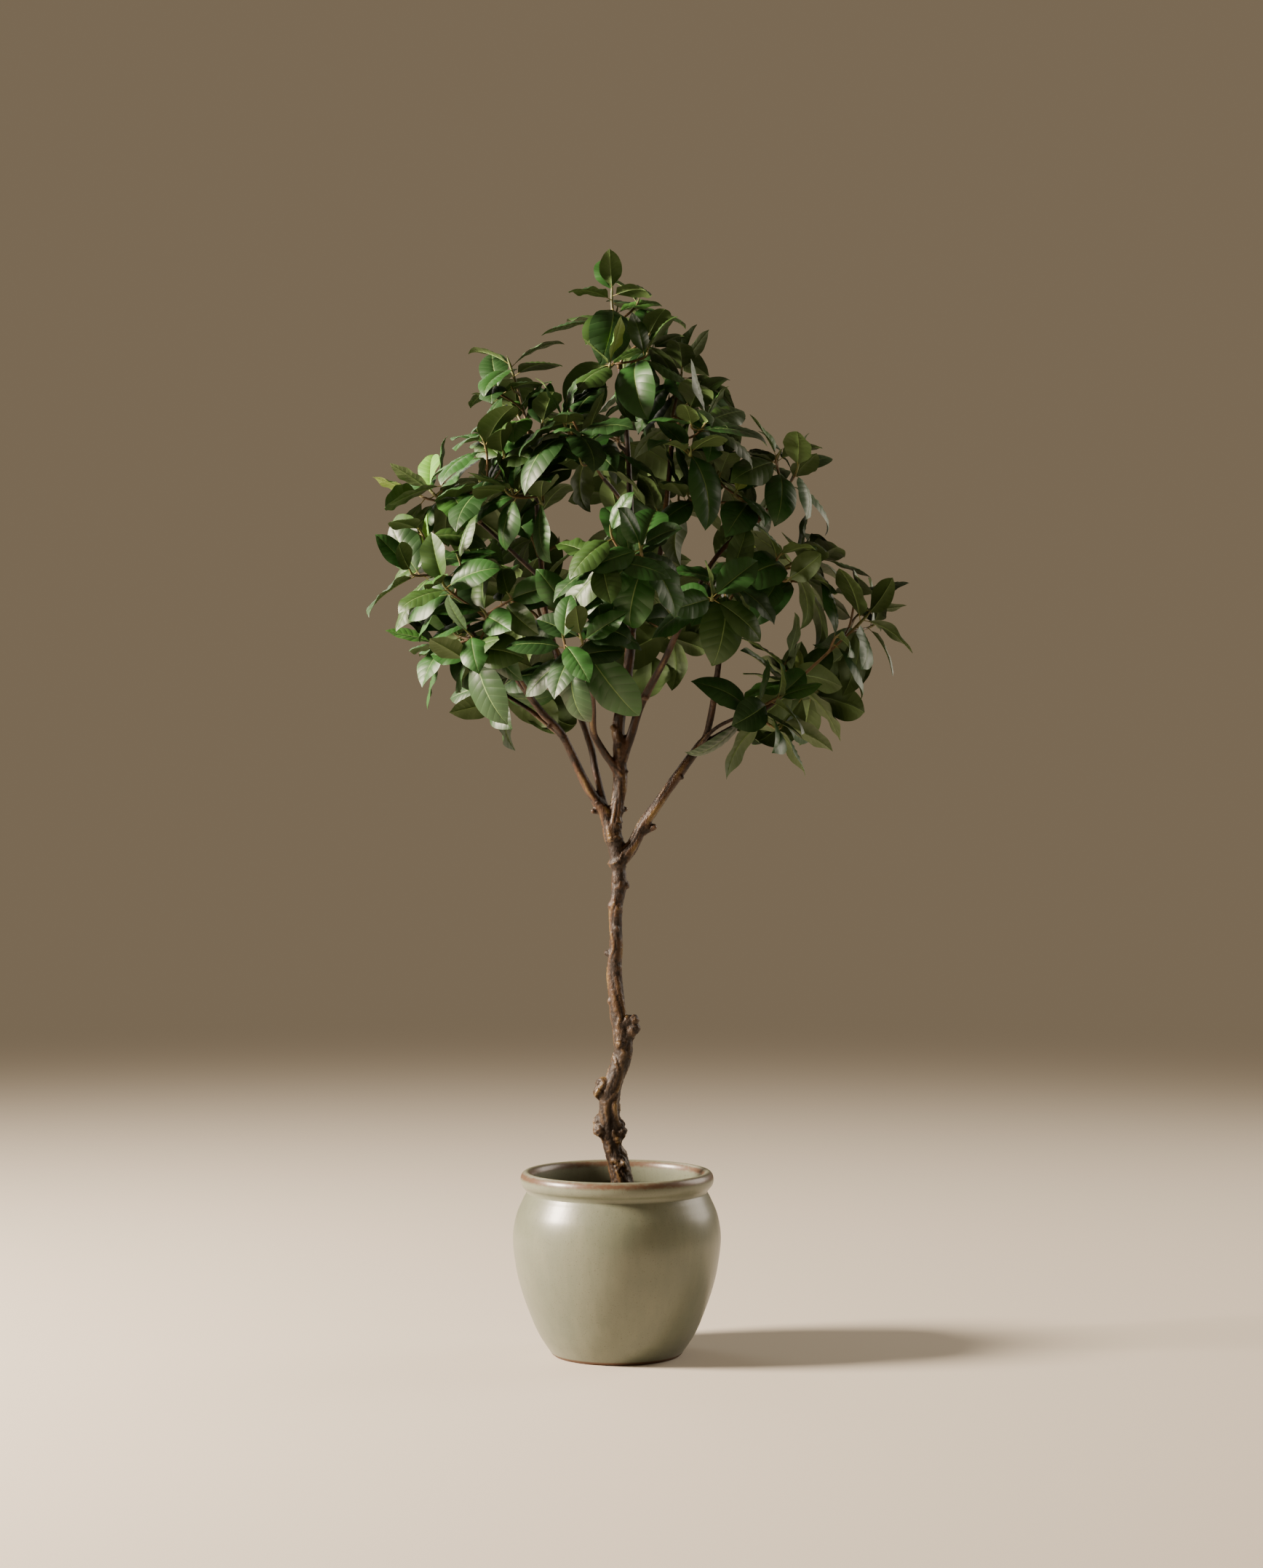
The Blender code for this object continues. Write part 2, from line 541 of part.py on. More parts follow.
def build_limbs():
    """The trunk and every bough; what meets an earlier limb is cut a gap clear of it."""
    path, radii = trunk_line()
    lines = {"trunk": (path, radii, Vector((0, 0, 1)), TRUNK_SIDES)}
    limbs = {"trunk": solid("trunk", *limb_shape(lines["trunk"]), "bark")}
    for name, bough in BOUGHS.items():
        parent = bough["parent"]
        path, radii, start = bough_line(bough, lines[parent][0])
        sides = BOUGH_SIDES if bough["thick"][0] >= THIN else TWIG_BOUGH_SIDES
        line = (path, radii, start, sides)
        limb = solid(name, *limb_shape(line), "bark")
        for other, earlier in lines.items():
            if start and other == parent:
                continue
            shape = limb_shape(earlier, GAP)
            if tree_of(limb).overlap(BVHTree.FromPolygons(*shape)):
                cut(limb, solid("cutter", *shape, "bark"))
                keep_largest(limb)
        limbs[name] = limb
        lines[name] = line
    for limb in limbs.values():
        limb.data.shade_smooth()
        limb.data.set_sharp_from_angle(angle=math.radians(BARK_CREASE))
    return limbs, lines


def seats(line, centres):
    """Where the stems of the masses that share a bough's tip begin, and the way they start."""
    path, _, start, _ = line
    way, side, up = frames(path, start)[-1]
    foot = path[-1] + way * TIP_GAP
    if len(centres) == 1:
        return [foot], way
    bearings = [math.atan2((c - foot).dot(up), (c - foot).dot(side)) for c in centres]
    order = sorted(range(len(centres)), key=lambda k: bearings[k])
    step = math.tau / len(centres)
    places = [None] * len(centres)
    for slot, k in enumerate(order):
        turn = bearings[order[0]] + slot * step
        places[k] = foot + (side * math.cos(turn) + up * math.sin(turn)) * SEAT_RADIUS
    return places, way


def scatter(rng, centre, spread):
    """A rosette's place: a seeded point near the mass's ellipsoid."""
    way = Vector((rng.gauss(0, 1), rng.gauss(0, 1), rng.gauss(0, 1))).normalized()
    share = rng.uniform(*STRAY)
    return centre + Vector([w * s * share for w, s in zip(way, spread)])


def arc_path(start, heading, end, finish, steps):
    """A Hermite curve that leaves start along heading and reaches end along finish."""
    span = (end - start).length
    a = heading * span
    b = finish * span * TWIG_SETTLE
    path = []
    for k in range(steps + 1):
        t = k / steps
        path.append(start * (2 * t ** 3 - 3 * t ** 2 + 1) + a * (t ** 3 - 2 * t ** 2 + t)
                    + end * (3 * t ** 2 - 2 * t ** 3) + b * (t ** 3 - t ** 2))
    return path


def plan_twig(mass, k, seat, heading, stem, attempt):
    """Twig k of a mass, the stem being twig 0: its path, radii and direction at its rosette."""
    rng = random.Random(mass["seeds"][k])
    centre = Vector(mass["centre"])
    place = scatter(rng, centre, mass["spread"]) if k else centre
    lean = Vector((rng.uniform(-1, 1), rng.uniform(-1, 1), rng.uniform(-0.3, 1))) * TWIG_LEAN
    outward = (place - Vector(CROWN_HEART)).normalized()
    finish = (outward * TWIG_OUT + Vector((0, 0, TWIG_RISE)) + lean).normalized()
    sway = Vector([random.Random(attempt * 3 + axis).uniform(-1, 1) for axis in range(3)])
    sway *= TWIG_SWAY * attempt
    if k == 0:
        path = arc_path(seat, heading, place, finish, STEM_STEPS)
        radii = [STEM_RADIUS + (TWIG_RADIUS - STEM_RADIUS) * i / STEM_STEPS
                 for i in range(STEM_STEPS + 1)]
    else:
        share = TWIG_FORK[0] + TWIG_FORK[1] * k
        root = point_at(stem, share)
        way = directions(stem)[round(share * STEM_STEPS)]
        first = (way + (place - root).normalized() * TWIG_AIM).normalized()
        path = arc_path(root, first, place, finish, TWIG_STEPS)
        radii = [TWIG_RADIUS] * (TWIG_STEPS + 1)
    last = len(path) - 1
    path = [p + sway * math.sin(math.pi * i / last) ** 2 for i, p in enumerate(path)]
    return path, radii, finish


def plan_leaf(mass, k, path, axis, index, count, attempt):
    """One leaf of a rosette: where it starts, how it lies, its length and its bend."""
    phase = random.Random(mass["seeds"][k] + 0.5).uniform(0, math.tau)
    rng = random.Random(mass["seeds"][k] * 1000 + index * 20 + attempt)
    age = index / (count - 1)
    loose = LEAF_LOOSER * attempt
    turn = phase + index * GOLDEN_ANGLE + rng.uniform(-1, 1) * (LEAF_TURN_STRAY + 2 * loose)
    opening = LEAF_OPEN[0] + (LEAF_OPEN[1] - LEAF_OPEN[0]) * age + mass["hang"] * (1 - age)
    opening = math.radians(opening) + rng.uniform(-1, 1) * (LEAF_OPEN_STRAY + loose)
    side = axis.cross(Vector((0.3, 1, 0.1))).normalized()
    out = side * math.cos(turn) + axis.cross(side) * math.sin(turn)
    forward = axis * math.cos(opening) + out * math.sin(opening)
    inner = axis * math.sin(opening) - out * math.cos(opening)
    outward = (path[-1] - Vector(CROWN_HEART)).normalized()
    sky = Vector((0, 0, LEAF_SKY)) + outward * LEAF_SUN + inner * LEAF_INNER
    up = (sky - forward * sky.dot(forward)).normalized()
    up = Matrix.Rotation(rng.uniform(-1, 1) * LEAF_ROLL_STRAY, 3, forward) @ up
    length = LEAF_LENGTH * (1 + (LEAF_YOUNG - 1) * age) * rng.uniform(*LEAF_SIZE_STRAY)
    bend = math.radians(LEAF_BEND[0] + (LEAF_BEND[1] - LEAF_BEND[0]) * age)
    below = (LEAF_PITCH * (1 - age) + LEAF_TOP) / lengths(path)[-1]
    return dict(root=point_at(path, 1 - below), forward=forward, up=up,
                bend=bend * rng.uniform(*LEAF_BEND_STRAY),
                length=length * (1 - LEAF_SMALLER * attempt),
                width=length * LEAF_WIDTH * rng.uniform(*LEAF_WIDTH_STRAY))


def leaf_count(seed):
    """How many leaves a rosette bears."""
    return random.Random(seed + 0.25).choice(LEAVES)


def leaf_frame(leaf, t):
    """Centre, forward and up of a leaf at share t of its length; it curves down on an arc."""
    bend = leaf["bend"]
    turn = bend * t
    ahead = leaf["length"] * math.sin(turn) / bend
    down = leaf["length"] * (1 - math.cos(turn)) / bend
    centre = leaf["root"] + leaf["forward"] * ahead - leaf["up"] * down
    forward = leaf["forward"] * math.cos(turn) - leaf["up"] * math.sin(turn)
    up = leaf["up"] * math.cos(turn) + leaf["forward"] * math.sin(turn)
    return centre, forward, up


def leaf_shape(leaf, swell=0):
    """Points and faces of a leaf: a pointed root, a narrow neck, a blade keeled below, a tip."""
    thick = leaf["length"] * LEAF_THICKNESS
    verts = [leaf["root"] - leaf["forward"] * LEAF_SINK]
    for t, share in LEAF_SECTIONS:
        centre, forward, up = leaf_frame(leaf, t)
        side = forward.cross(up)
        half = leaf["width"] / 2 * share
        edge = up * (half * LEAF_FOLD + thick / 2 + swell)
        keel = up * (thick / 2 - half * LEAF_FOLD + swell)
        verts += [centre - side * (half + swell) + edge, centre + side * (half + swell) + edge,
                  centre - keel]
    verts.append(leaf_frame(leaf, 1)[0])
    last = len(verts) - 1
    faces = []
    for k in range(3):
        after = (k + 1) % 3
        faces.append((0, 1 + after, 1 + k))
        for ring in range(1, last - 3, 3):
            faces.append((ring + k, ring + after, ring + after + 3))
            faces.append((ring + k, ring + after + 3, ring + k + 3))
        faces.append((last - 3 + k, last - 3 + after, last))
    return verts, faces


def blade_only(shape):
    """The shape without its root, for telling whether two leaves of a mass cross."""
    verts, faces = shape
    neck = (verts[1] + verts[2] + verts[3]) / 3
    return [verts[0].lerp(neck, LEAF_ROOT), *verts[1:]], faces


def touches(shape, others):
    """Whether a shape's faces meet any of the shapes already there."""
    verts, faces = shape
    centre = sum(verts, Vector()) / len(verts)
    radius = max((v - centre).length for v in verts)
    tree = None
    for other_centre, other_radius, other_tree in others:
        if (centre - other_centre).length > radius + other_radius:
            continue
        if tree is None:
            tree = BVHTree.FromPolygons(verts, faces)
        if tree.overlap(other_tree):
            return True
    return False


def entry(shape):
    """A shape's bounding sphere and search tree."""
    verts, faces = shape
    centre = sum(verts, Vector()) / len(verts)
    return centre, max((v - centre).length for v in verts), BVHTree.FromPolygons(verts, faces)


def grow_twigs(mass, seat, heading, taken):
    """Shapes of a mass's stem and twigs, clear of what is there, and each rosette's place."""
    shapes = []
    rosettes = []
    stem = None
    for k in range(len(mass["seeds"])):
        for attempt in range(TWIG_TRIES):
            path, radii, finish = plan_twig(mass, k, seat, heading, stem, attempt)
            free = path[1:] if k == 0 else path
            fat = tube(free, [r + TWIG_AIR for r in radii[-len(free):]], TWIG_SIDES)
            if not touches(fat, taken):
                break
        else:
            if k:
                continue
            print("no free way for the stem at", mass["centre"])
        stem = stem or path
        shapes.append(tube(path, radii, TWIG_SIDES, None if k else heading))
        rosettes.append((k, path, finish))
    return shapes, rosettes


def grow_leaves(mass, rosettes, own, others):
    """Shapes of a mass's leaves, clear of the others and of the blades of their own mass."""
    shapes = []
    centre = Vector(mass["centre"])
    for k, path, axis in rosettes:
        count = leaf_count(mass["seeds"][k])
        for index in reversed(range(count)):
            for attempt in range(LEAF_TRIES):
                leaf = plan_leaf(mass, k, path, axis, index, count, attempt)
                if (leaf_frame(leaf, 1)[0] - centre).length > REACH:
                    continue
                fat = leaf_shape(leaf, LEAF_AIR)
                if touches(fat, others) or touches(blade_only(fat), own):
                    continue
                shapes.append(leaf_shape(leaf))
                own.append(entry(blade_only(shapes[-1])))
                break
    return shapes


def join_mass(name, shapes):
    """One union of a mass's stem, twigs and leaves."""
    stem = solid(name, *shapes[0], "leaf")
    group = bpy.data.collections.new(name + "_pieces")
    for shape in shapes[1:]:
        piece = solid(name + "_piece", *shape, "leaf")
        bpy.context.scene.collection.objects.unlink(piece)
        group.objects.link(piece)
    boolean = stem.modifiers.new("join", "BOOLEAN")
    boolean.operation = "UNION"
    boolean.operand_type = "COLLECTION"
    boolean.collection = group
    apply_modifiers(stem)
    for piece in list(group.objects):
        bpy.data.objects.remove(piece, do_unlink=True)
    bpy.data.collections.remove(group)
    keep_largest(stem)
    return stem


def build_masses(limbs, lines):
    """Every mass of foliage: all the twigs first, then the leaves that find room among them."""
    wood = []
    for limb in limbs.values():
        mesh = limb.data
        wood.append(entry(([v.co.copy() for v in mesh.vertices],
                           [tuple(p.vertices) for p in mesh.polygons])))
    twigs = {}
    rosettes = {}
    for bough in dict.fromkeys(mass["bough"] for mass in MASSES.values()):
        group = [name for name, mass in MASSES.items() if mass["bough"] == bough]
        centres = [Vector(MASSES[name]["centre"]) for name in group]
        places, heading = seats(lines[bough], centres)
        for name, place in zip(group, places):
            taken = wood + [entry(shape) for shapes in twigs.values() for shape in shapes]
            twigs[name], rosettes[name] = grow_twigs(MASSES[name], place, heading, taken)
    grown = {name: [entry(shape) for shape in shapes] for name, shapes in twigs.items()}
    total = 0
    for name, mass in MASSES.items():
        others = wood + [one for other, ones in grown.items() if other != name for one in ones]
        leaves = grow_leaves(mass, rosettes[name], list(grown[name]), others)
        grown[name] += [entry(shape) for shape in leaves]
        join_mass(name, twigs[name] + leaves)
        total += len(leaves)
    print(total, "leaves")


def main():
    clear_scene()
    build_pot()
    build_soil()
    limbs, lines = build_limbs()
    build_masses(limbs, lines)


main()
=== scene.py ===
# A potted ficus grown as a small standard tree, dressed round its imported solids.
# Metres, +Z up, the front towards -Y. Patterns of the materials are given in millimetres.
import itertools
import math
import random

import bpy
import numpy as np
from mathutils import Matrix, Vector, noise
from mathutils.bvhtree import BVHTree
from mathutils.kdtree import KDTree


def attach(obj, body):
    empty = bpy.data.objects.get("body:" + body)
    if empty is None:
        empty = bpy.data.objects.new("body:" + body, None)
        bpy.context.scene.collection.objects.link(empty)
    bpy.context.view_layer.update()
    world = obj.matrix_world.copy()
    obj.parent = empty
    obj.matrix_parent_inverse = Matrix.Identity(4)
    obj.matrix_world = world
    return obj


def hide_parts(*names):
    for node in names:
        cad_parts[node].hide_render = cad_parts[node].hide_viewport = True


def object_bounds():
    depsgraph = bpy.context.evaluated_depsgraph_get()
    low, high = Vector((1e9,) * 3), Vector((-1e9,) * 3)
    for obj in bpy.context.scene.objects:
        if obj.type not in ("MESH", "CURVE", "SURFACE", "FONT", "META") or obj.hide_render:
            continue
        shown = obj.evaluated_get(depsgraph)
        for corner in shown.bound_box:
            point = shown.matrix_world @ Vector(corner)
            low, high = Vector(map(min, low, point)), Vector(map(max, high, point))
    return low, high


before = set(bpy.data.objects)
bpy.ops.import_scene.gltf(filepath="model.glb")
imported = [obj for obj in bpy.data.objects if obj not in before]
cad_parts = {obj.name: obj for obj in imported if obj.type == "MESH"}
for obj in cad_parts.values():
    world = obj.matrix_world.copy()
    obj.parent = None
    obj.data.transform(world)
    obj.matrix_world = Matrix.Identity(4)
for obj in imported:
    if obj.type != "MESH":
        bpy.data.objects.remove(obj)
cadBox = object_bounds()
print("frame loaded:", len(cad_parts), "nodes")


# Small tools that every piece uses

def hexColour(code):
    # sRGB hex to the linear colour that a shader takes
    parts = [int(code[k:k + 2], 16) / 255 for k in (1, 3, 5)]
    return [p / 12.92 if p <= 0.04045 else ((p + 0.055) / 1.055) ** 2.4 for p in parts] + [1]


def perMetre(millimetres):
    # a texture's scale for a feature of this real size
    return 1000 / millimetres


def setInputs(tree, node, inputs):
    # an output is linked, a hex colour is turned to linear, any other value is set
    for name, value in inputs.items():
        if isinstance(value, bpy.types.NodeSocket):
            tree.links.new(value, node.inputs[name])
        else:
            node.inputs[name].default_value = hexColour(value) if isinstance(value, str) else value


def newMaterial(name, colour, roughness, ior=1.5, more=None):
    made = bpy.data.materials.new(name)
    made.use_nodes = True
    shader = made.node_tree.nodes["Principled BSDF"]
    setInputs(made.node_tree, shader, {
        "Base Color": colour, "Roughness": roughness, "IOR": ior, **(more or {})})
    return made, made.node_tree, shader


def addNode(tree, kind, inputs=None, output=0, **settings):
    # a node with its settings and links, and the output that goes on to the next one
    node = tree.nodes.new(kind)
    for name, value in settings.items():
        setattr(node, name, value)
    setInputs(tree, node, inputs or {})
    return node.outputs[output]


# settings of a Mix node for colours: input 0 is the share of the second, 6 and 7 the two colours
twoColours = {"data_type": "RGBA", "output": 2}


def tint(tree, base, value, colour, low, high, most=1.0):
    # the base turned to a colour, by most of it at the end, as a value goes from low to high
    share = addNode(tree, "ShaderNodeMapRange", {
        "Value": value, "From Min": low, "From Max": high, "To Max": most})
    return addNode(tree, "ShaderNodeMix", {0: share, 6: base, 7: colour}, **twoColours)


def newPiece(name, verts, faces, materials, kinds=None, sharp=None):
    # a mesh object from points and faces; kinds says which material each face takes, and sharp
    # from how many degrees an edge is crisp
    mesh = bpy.data.meshes.new(name)
    mesh.from_pydata(np.asarray(verts, float).tolist(), [], faces)
    for material in materials:
        mesh.materials.append(material)
    if kinds is not None:
        mesh.polygons.foreach_set("material_index", np.asarray(kinds, np.int32))
    mesh.shade_smooth()
    if sharp:
        mesh.set_sharp_from_angle(angle=math.radians(sharp))
    piece = bpy.data.objects.new(name, mesh)
    bpy.context.scene.collection.objects.link(piece)
    return piece


def setAttribute(piece, name, values):
    # one number for each point, which a material reads by its name
    held = piece.data.attributes.new(name, "FLOAT", "POINT")
    held.data.foreach_set("value", np.asarray(values, np.float32))


def applyModifiers(piece):
    depsgraph = bpy.context.evaluated_depsgraph_get()
    shape = bpy.data.meshes.new_from_object(piece.evaluated_get(depsgraph))
    piece.modifiers.clear()
    piece.data = shape


def countTriangles(piece):
    return sum(len(p.vertices) - 2 for p in piece.data.polygons)


def circle(count, radius=1.0):
    turns = [math.tau * k / count for k in range(count)]
    return [(radius * math.cos(turn), radius * math.sin(turn)) for turn in turns]


def ringFaces(count, rings, start=0):
    # the quads between rings of points that follow each other
    quads = []
    for a in range(start, start + (rings - 1) * count, count):
        for k in range(count):
            after = (k + 1) % count
            quads.append((a + k, a + after, a + count + after, a + count + k))
    return quads


def latheFaces(count, rings):
    # the faces of a turned form: a point on its axis, the rings, and a last point on its axis
    last = rings * count + 1
    faces = ringFaces(count, rings, 1)
    for k in range(count):
        after = (k + 1) % count
        faces += [(0, 1 + after, 1 + k), (last, last - count + k, last - count + after)]
    return faces


def flipped(faces):
    return [(face[0], *reversed(face[1:])) for face in faces]


# The limbs' centre lines, as the solids have them

trunk = {
    "stations": (  # height, sideways, radius
        (0.2353, 0.0112, 0.0235), (0.262, 0.0107, 0.0190), (0.311, 0.0024, 0.0180),
        (0.338, -0.0077, 0.0155), (0.380, -0.0107, 0.0178), (0.4145, -0.0119, 0.0170),
        (0.449, -0.0036, 0.0146), (0.488, 0.0095, 0.0158), (0.524, 0.0085, 0.0145),
        (0.557, 0.0024, 0.0130), (0.630, -0.0036, 0.0120), (0.680, -0.0012, 0.0106),
        (0.730, -0.0012, 0.0112), (0.771, 0.0036, 0.0122), (0.801, 0.0012, 0.0118),
        (0.845, -0.0042, 0.0137), (0.868, -0.0040, 0.0140)),
    "soilTop": 0.235,
    "sway": 0.006,
    "swayHeight": 0.31,
    "steps": 3,
    # healed branch collars: height, bearing in degrees, how far each stands out, how tall it is
    "knots": (
        (0.538, -10, 0.0190, 0.0120), (0.434, 187, 0.0160, 0.0120), (0.376, 173, 0.0115, 0.0150),
        (0.369, 3, 0.0100, 0.0130), (0.466, 80, 0.0070, 0.0110), (0.650, 178, 0.0085, 0.0080),
        (0.730, 185, 0.0050, 0.0080), (0.760, 0, 0.0070, 0.0080), (0.600, 100, 0.0050, 0.0090),
        (0.500, 250, 0.0060, 0.0100), (0.305, 300, 0.0050, 0.0110), (0.695, 270, 0.0040, 0.0080),
        (0.577, 180, 0.0040, 0.0090)),
}

# parent, where on it (1 is its tip), radius at foot and tip, and the points on the way
boughs = {
    "right_bough": ("trunk", 0.895, (0.0116, 0.0074), (
        (0.025, 0.000, 0.829), (0.042, 0.000, 0.862), (0.079, 0.000, 0.917),
        (0.116, 0.000, 0.968), (0.1385, 0.000, 0.998))),
    "centre_limb": ("trunk", 1, (0.0112, 0.0118), (
        (0.005, 0.000, 0.928), (0.005, -0.005, 0.995))),
    "left_limb": ("trunk", 0.955, (0.0122, 0.0095), (
        (-0.020, 0.000, 0.884), (-0.034, 0.000, 0.904))),
    "leader": ("centre_limb", 1, (0.0105, 0.0052), (
        (0.003, 0.000, 1.030), (0.021, 0.000, 1.142), (0.024, 0.010, 1.290),
        (0.020, 0.020, 1.436))),
    "leader_top": ("leader", 1, (0.0052, 0.0042), (
        (0.014, 0.010, 1.530), (0.004, 0.000, 1.615))),
    "front_right_limb": ("centre_limb", 0.80, (0.0085, 0.0048), (
        (0.022, -0.008, 1.008), (0.039, -0.015, 1.060), (0.078, -0.045, 1.134),
        (0.110, -0.075, 1.204))),
    "left_bough": ("left_limb", 1, (0.0086, 0.0055), (
        (-0.058, -0.005, 0.946), (-0.090, -0.020, 1.013), (-0.124, -0.035, 1.050),
        (-0.163, -0.050, 1.104))),
    "inner_left": ("left_limb", 0.38, (0.0066, 0.0050), (
        (-0.025, 0.008, 0.912), (-0.036, 0.014, 0.956), (-0.047, 0.022, 1.006),
        (-0.100, 0.040, 1.145), (-0.117, 0.045, 1.210))),
    "cross_limb": ("centre_limb", 0.62, (0.0072, 0.0044), (
        (-0.023, -0.020, 0.986), (-0.038, -0.045, 1.016), (-0.038, -0.080, 1.056),
        (-0.042, -0.150, 1.115))),
    "right_riser": ("right_bough", 1, (0.0060, 0.0044), (
        (0.152, -0.008, 1.034), (0.163, -0.030, 1.110), (0.176, -0.055, 1.215))),
    "right_arm": ("right_bough", 0.95, (0.0058, 0.0040), (
        (0.154, -0.006, 1.003), (0.206, -0.020, 1.034), (0.250, -0.020, 1.060),
        (0.300, -0.020, 1.105))),
    "low_right_twig": ("right_bough", 0.92, (0.0040, 0.0030), (
        (0.158, -0.024, 1.020), (0.198, -0.045, 1.041))),
    "upper_right": ("front_right_limb", 1, (0.0052, 0.0040), (
        (0.162, -0.060, 1.300), (0.230, -0.030, 1.362))),
    "leader_right": ("leader", 0.42, (0.0056, 0.0042), (
        (0.068, -0.005, 1.297), (0.082, -0.020, 1.400), (0.092, -0.025, 1.520))),
    "front_twig": ("leader", 0.47, (0.0046, 0.0034), (
        (0.040, -0.080, 1.245), (0.040, -0.185, 1.262))),
    "upper_front_twig": ("leader", 0.80, (0.0042, 0.0032), (
        (0.005, -0.020, 1.395), (-0.022, -0.065, 1.425))),
    "upper_back_twig": ("leader_top", 0.15, (0.0040, 0.0032), (
        (0.014, 0.040, 1.480), (0.006, 0.065, 1.490))),
    "back_limb": ("leader", 0.30, (0.0056, 0.0044), (
        (0.020, 0.080, 1.200), (0.026, 0.160, 1.300))),
    "back_right_limb": ("front_right_limb", 0.42, (0.0054, 0.0040), (
        (0.090, 0.040, 1.160), (0.110, 0.120, 1.215))),
    "left_bough_outer": ("left_bough", 1, (0.0056, 0.0040), (
        (-0.219, -0.060, 1.158), (-0.237, -0.064, 1.181), (-0.262, -0.070, 1.230))),
    "left_front_limb": ("left_bough", 0.80, (0.0044, 0.0034), (
        (-0.165, -0.085, 1.115), (-0.195, -0.115, 1.150))),
    "lower_left": ("left_bough", 0.48, (0.0046, 0.0036), (
        (-0.140, 0.000, 1.050), (-0.190, 0.025, 1.082))),
    "left_riser": ("inner_left", 1, (0.0050, 0.0042), (
        (-0.123, 0.038, 1.270), (-0.130, 0.020, 1.360), (-0.134, 0.005, 1.440))),
    "left_high_limb": ("left_riser", 0.25, (0.0044, 0.0036), (
        (-0.170, 0.000, 1.310), (-0.225, -0.010, 1.360))),
    "back_left_limb": ("inner_left", 0.40, (0.0048, 0.0040), (
        (-0.090, 0.090, 1.130), (-0.130, 0.150, 1.210))),
}
boughForm = {
    "curveSteps": 8,  # points on its line for each stretch of the way
    "ring": 0.032,  # distance between the rings of its solid
    "leastRings": 3,
    "tipGap": 0.0004,  # from its flat tip to what grows on from it
}


def smoothPath(points, steps, start=None):
    # Catmull-Rom curve through the points; start is the way that it sets out
    points = [Vector(p) for p in points]
    before = 2 * points[0] - points[1]
    if start:
        before = points[1] - 2 * start.normalized() * (points[1] - points[0]).length
    ends = [before, *points, 2 * points[-1] - points[-2]]
    path = [points[0]]
    for a, b, c, d in zip(ends, ends[1:], ends[2:], ends[3:]):
        for k in range(1, steps + 1):
            t = k / steps
            path.append(0.5 * (2 * b + (c - a) * t + (2 * a - 5 * b + 4 * c - d) * t ** 2
                               + (3 * b - a - 3 * c + d) * t ** 3))
    return path


def directions(path):
    ahead = [b - a for a, b in zip(path, path[1:])]
    joined = [ahead[0], *[a.normalized() + b.normalized() for a, b in zip(ahead, ahead[1:])], ahead[-1]]
    return [d.normalized() for d in joined]


def frames(path, first=None):
    # direction and two sideways vectors at each point, carried along without twist
    ways = directions(path)
    if first:
        ways[0] = first.normalized()
    side = ways[0].cross(Vector((0, 1, 0)))
    if side.length < 0.1:
        side = ways[0].cross(Vector((1, 0, 0)))
    side.normalize()
    found = []
    for way in ways:
        side = (side - way * side.dot(way)).normalized()
        found.append((way, side, way.cross(side)))
    return found


def tube(path, radii, sides, first=None):
    verts = []
    for point, radius, (_, side, up) in zip(path, radii, frames(path, first)):
        verts += [point + (side * x + up * y) * radius for x, y in circle(sides)]
    ends = [tuple(reversed(range(sides))), tuple(range(len(verts) - sides, len(verts)))]
    return verts, ringFaces(sides, len(path)) + ends


def lengths(path):
    run = [0]
    for a, b in zip(path, path[1:]):
        run.append(run[-1] + (b - a).length)
    return run


def pointAt(path, share):
    run = lengths(path)
    wanted = share * run[-1]
    for a, b, low, high in zip(path, path[1:], run, run[1:]):
        if wanted <= high:
            return a.lerp(b, (wanted - low) / (high - low))
    return path[-1].copy()


def trunkLine(steps):
    stations = []
    for height, sideways, _ in trunk["stations"]:
        sway = trunk["sway"] * math.sin(math.tau * (height - trunk["soilTop"]) / trunk["swayHeight"])
        stations.append((sideways, sway * (1 - height), height))
    path = smoothPath(stations, steps)
    widths = smoothPath([(r, 0, 0) for _, _, r in trunk["stations"]], steps)
    return path, [w.x for w in widths]


def boughLine(name, parentPath):
    # the fine curve, the path that the solid takes along it, and the way it starts
    _, at, _, way = boughs[name]
    start = None
    foot = pointAt(parentPath, at)
    if at == 1:
        start = directions(parentPath)[-1]
        foot = parentPath[-1] + start * boughForm["tipGap"]
    curve = smoothPath([foot, *way], boughForm["curveSteps"], start)
    count = max(boughForm["leastRings"], round(lengths(curve)[-1] / boughForm["ring"]))
    path = [pointAt(curve, k / count) for k in range(count + 1)]
    return curve, path, start


limbLines = {"trunk": (None, trunkLine(trunk["steps"])[0], Vector((0, 0, 1)))}
for boughName in boughs:
    limbLines[boughName] = boughLine(boughName, limbLines[boughs[boughName][0]][1])

# The growing rule of the foliage, as the solids have it. Each kind of chance adds a fraction of its
# own to a rosette's seed, so that no two share their draws.

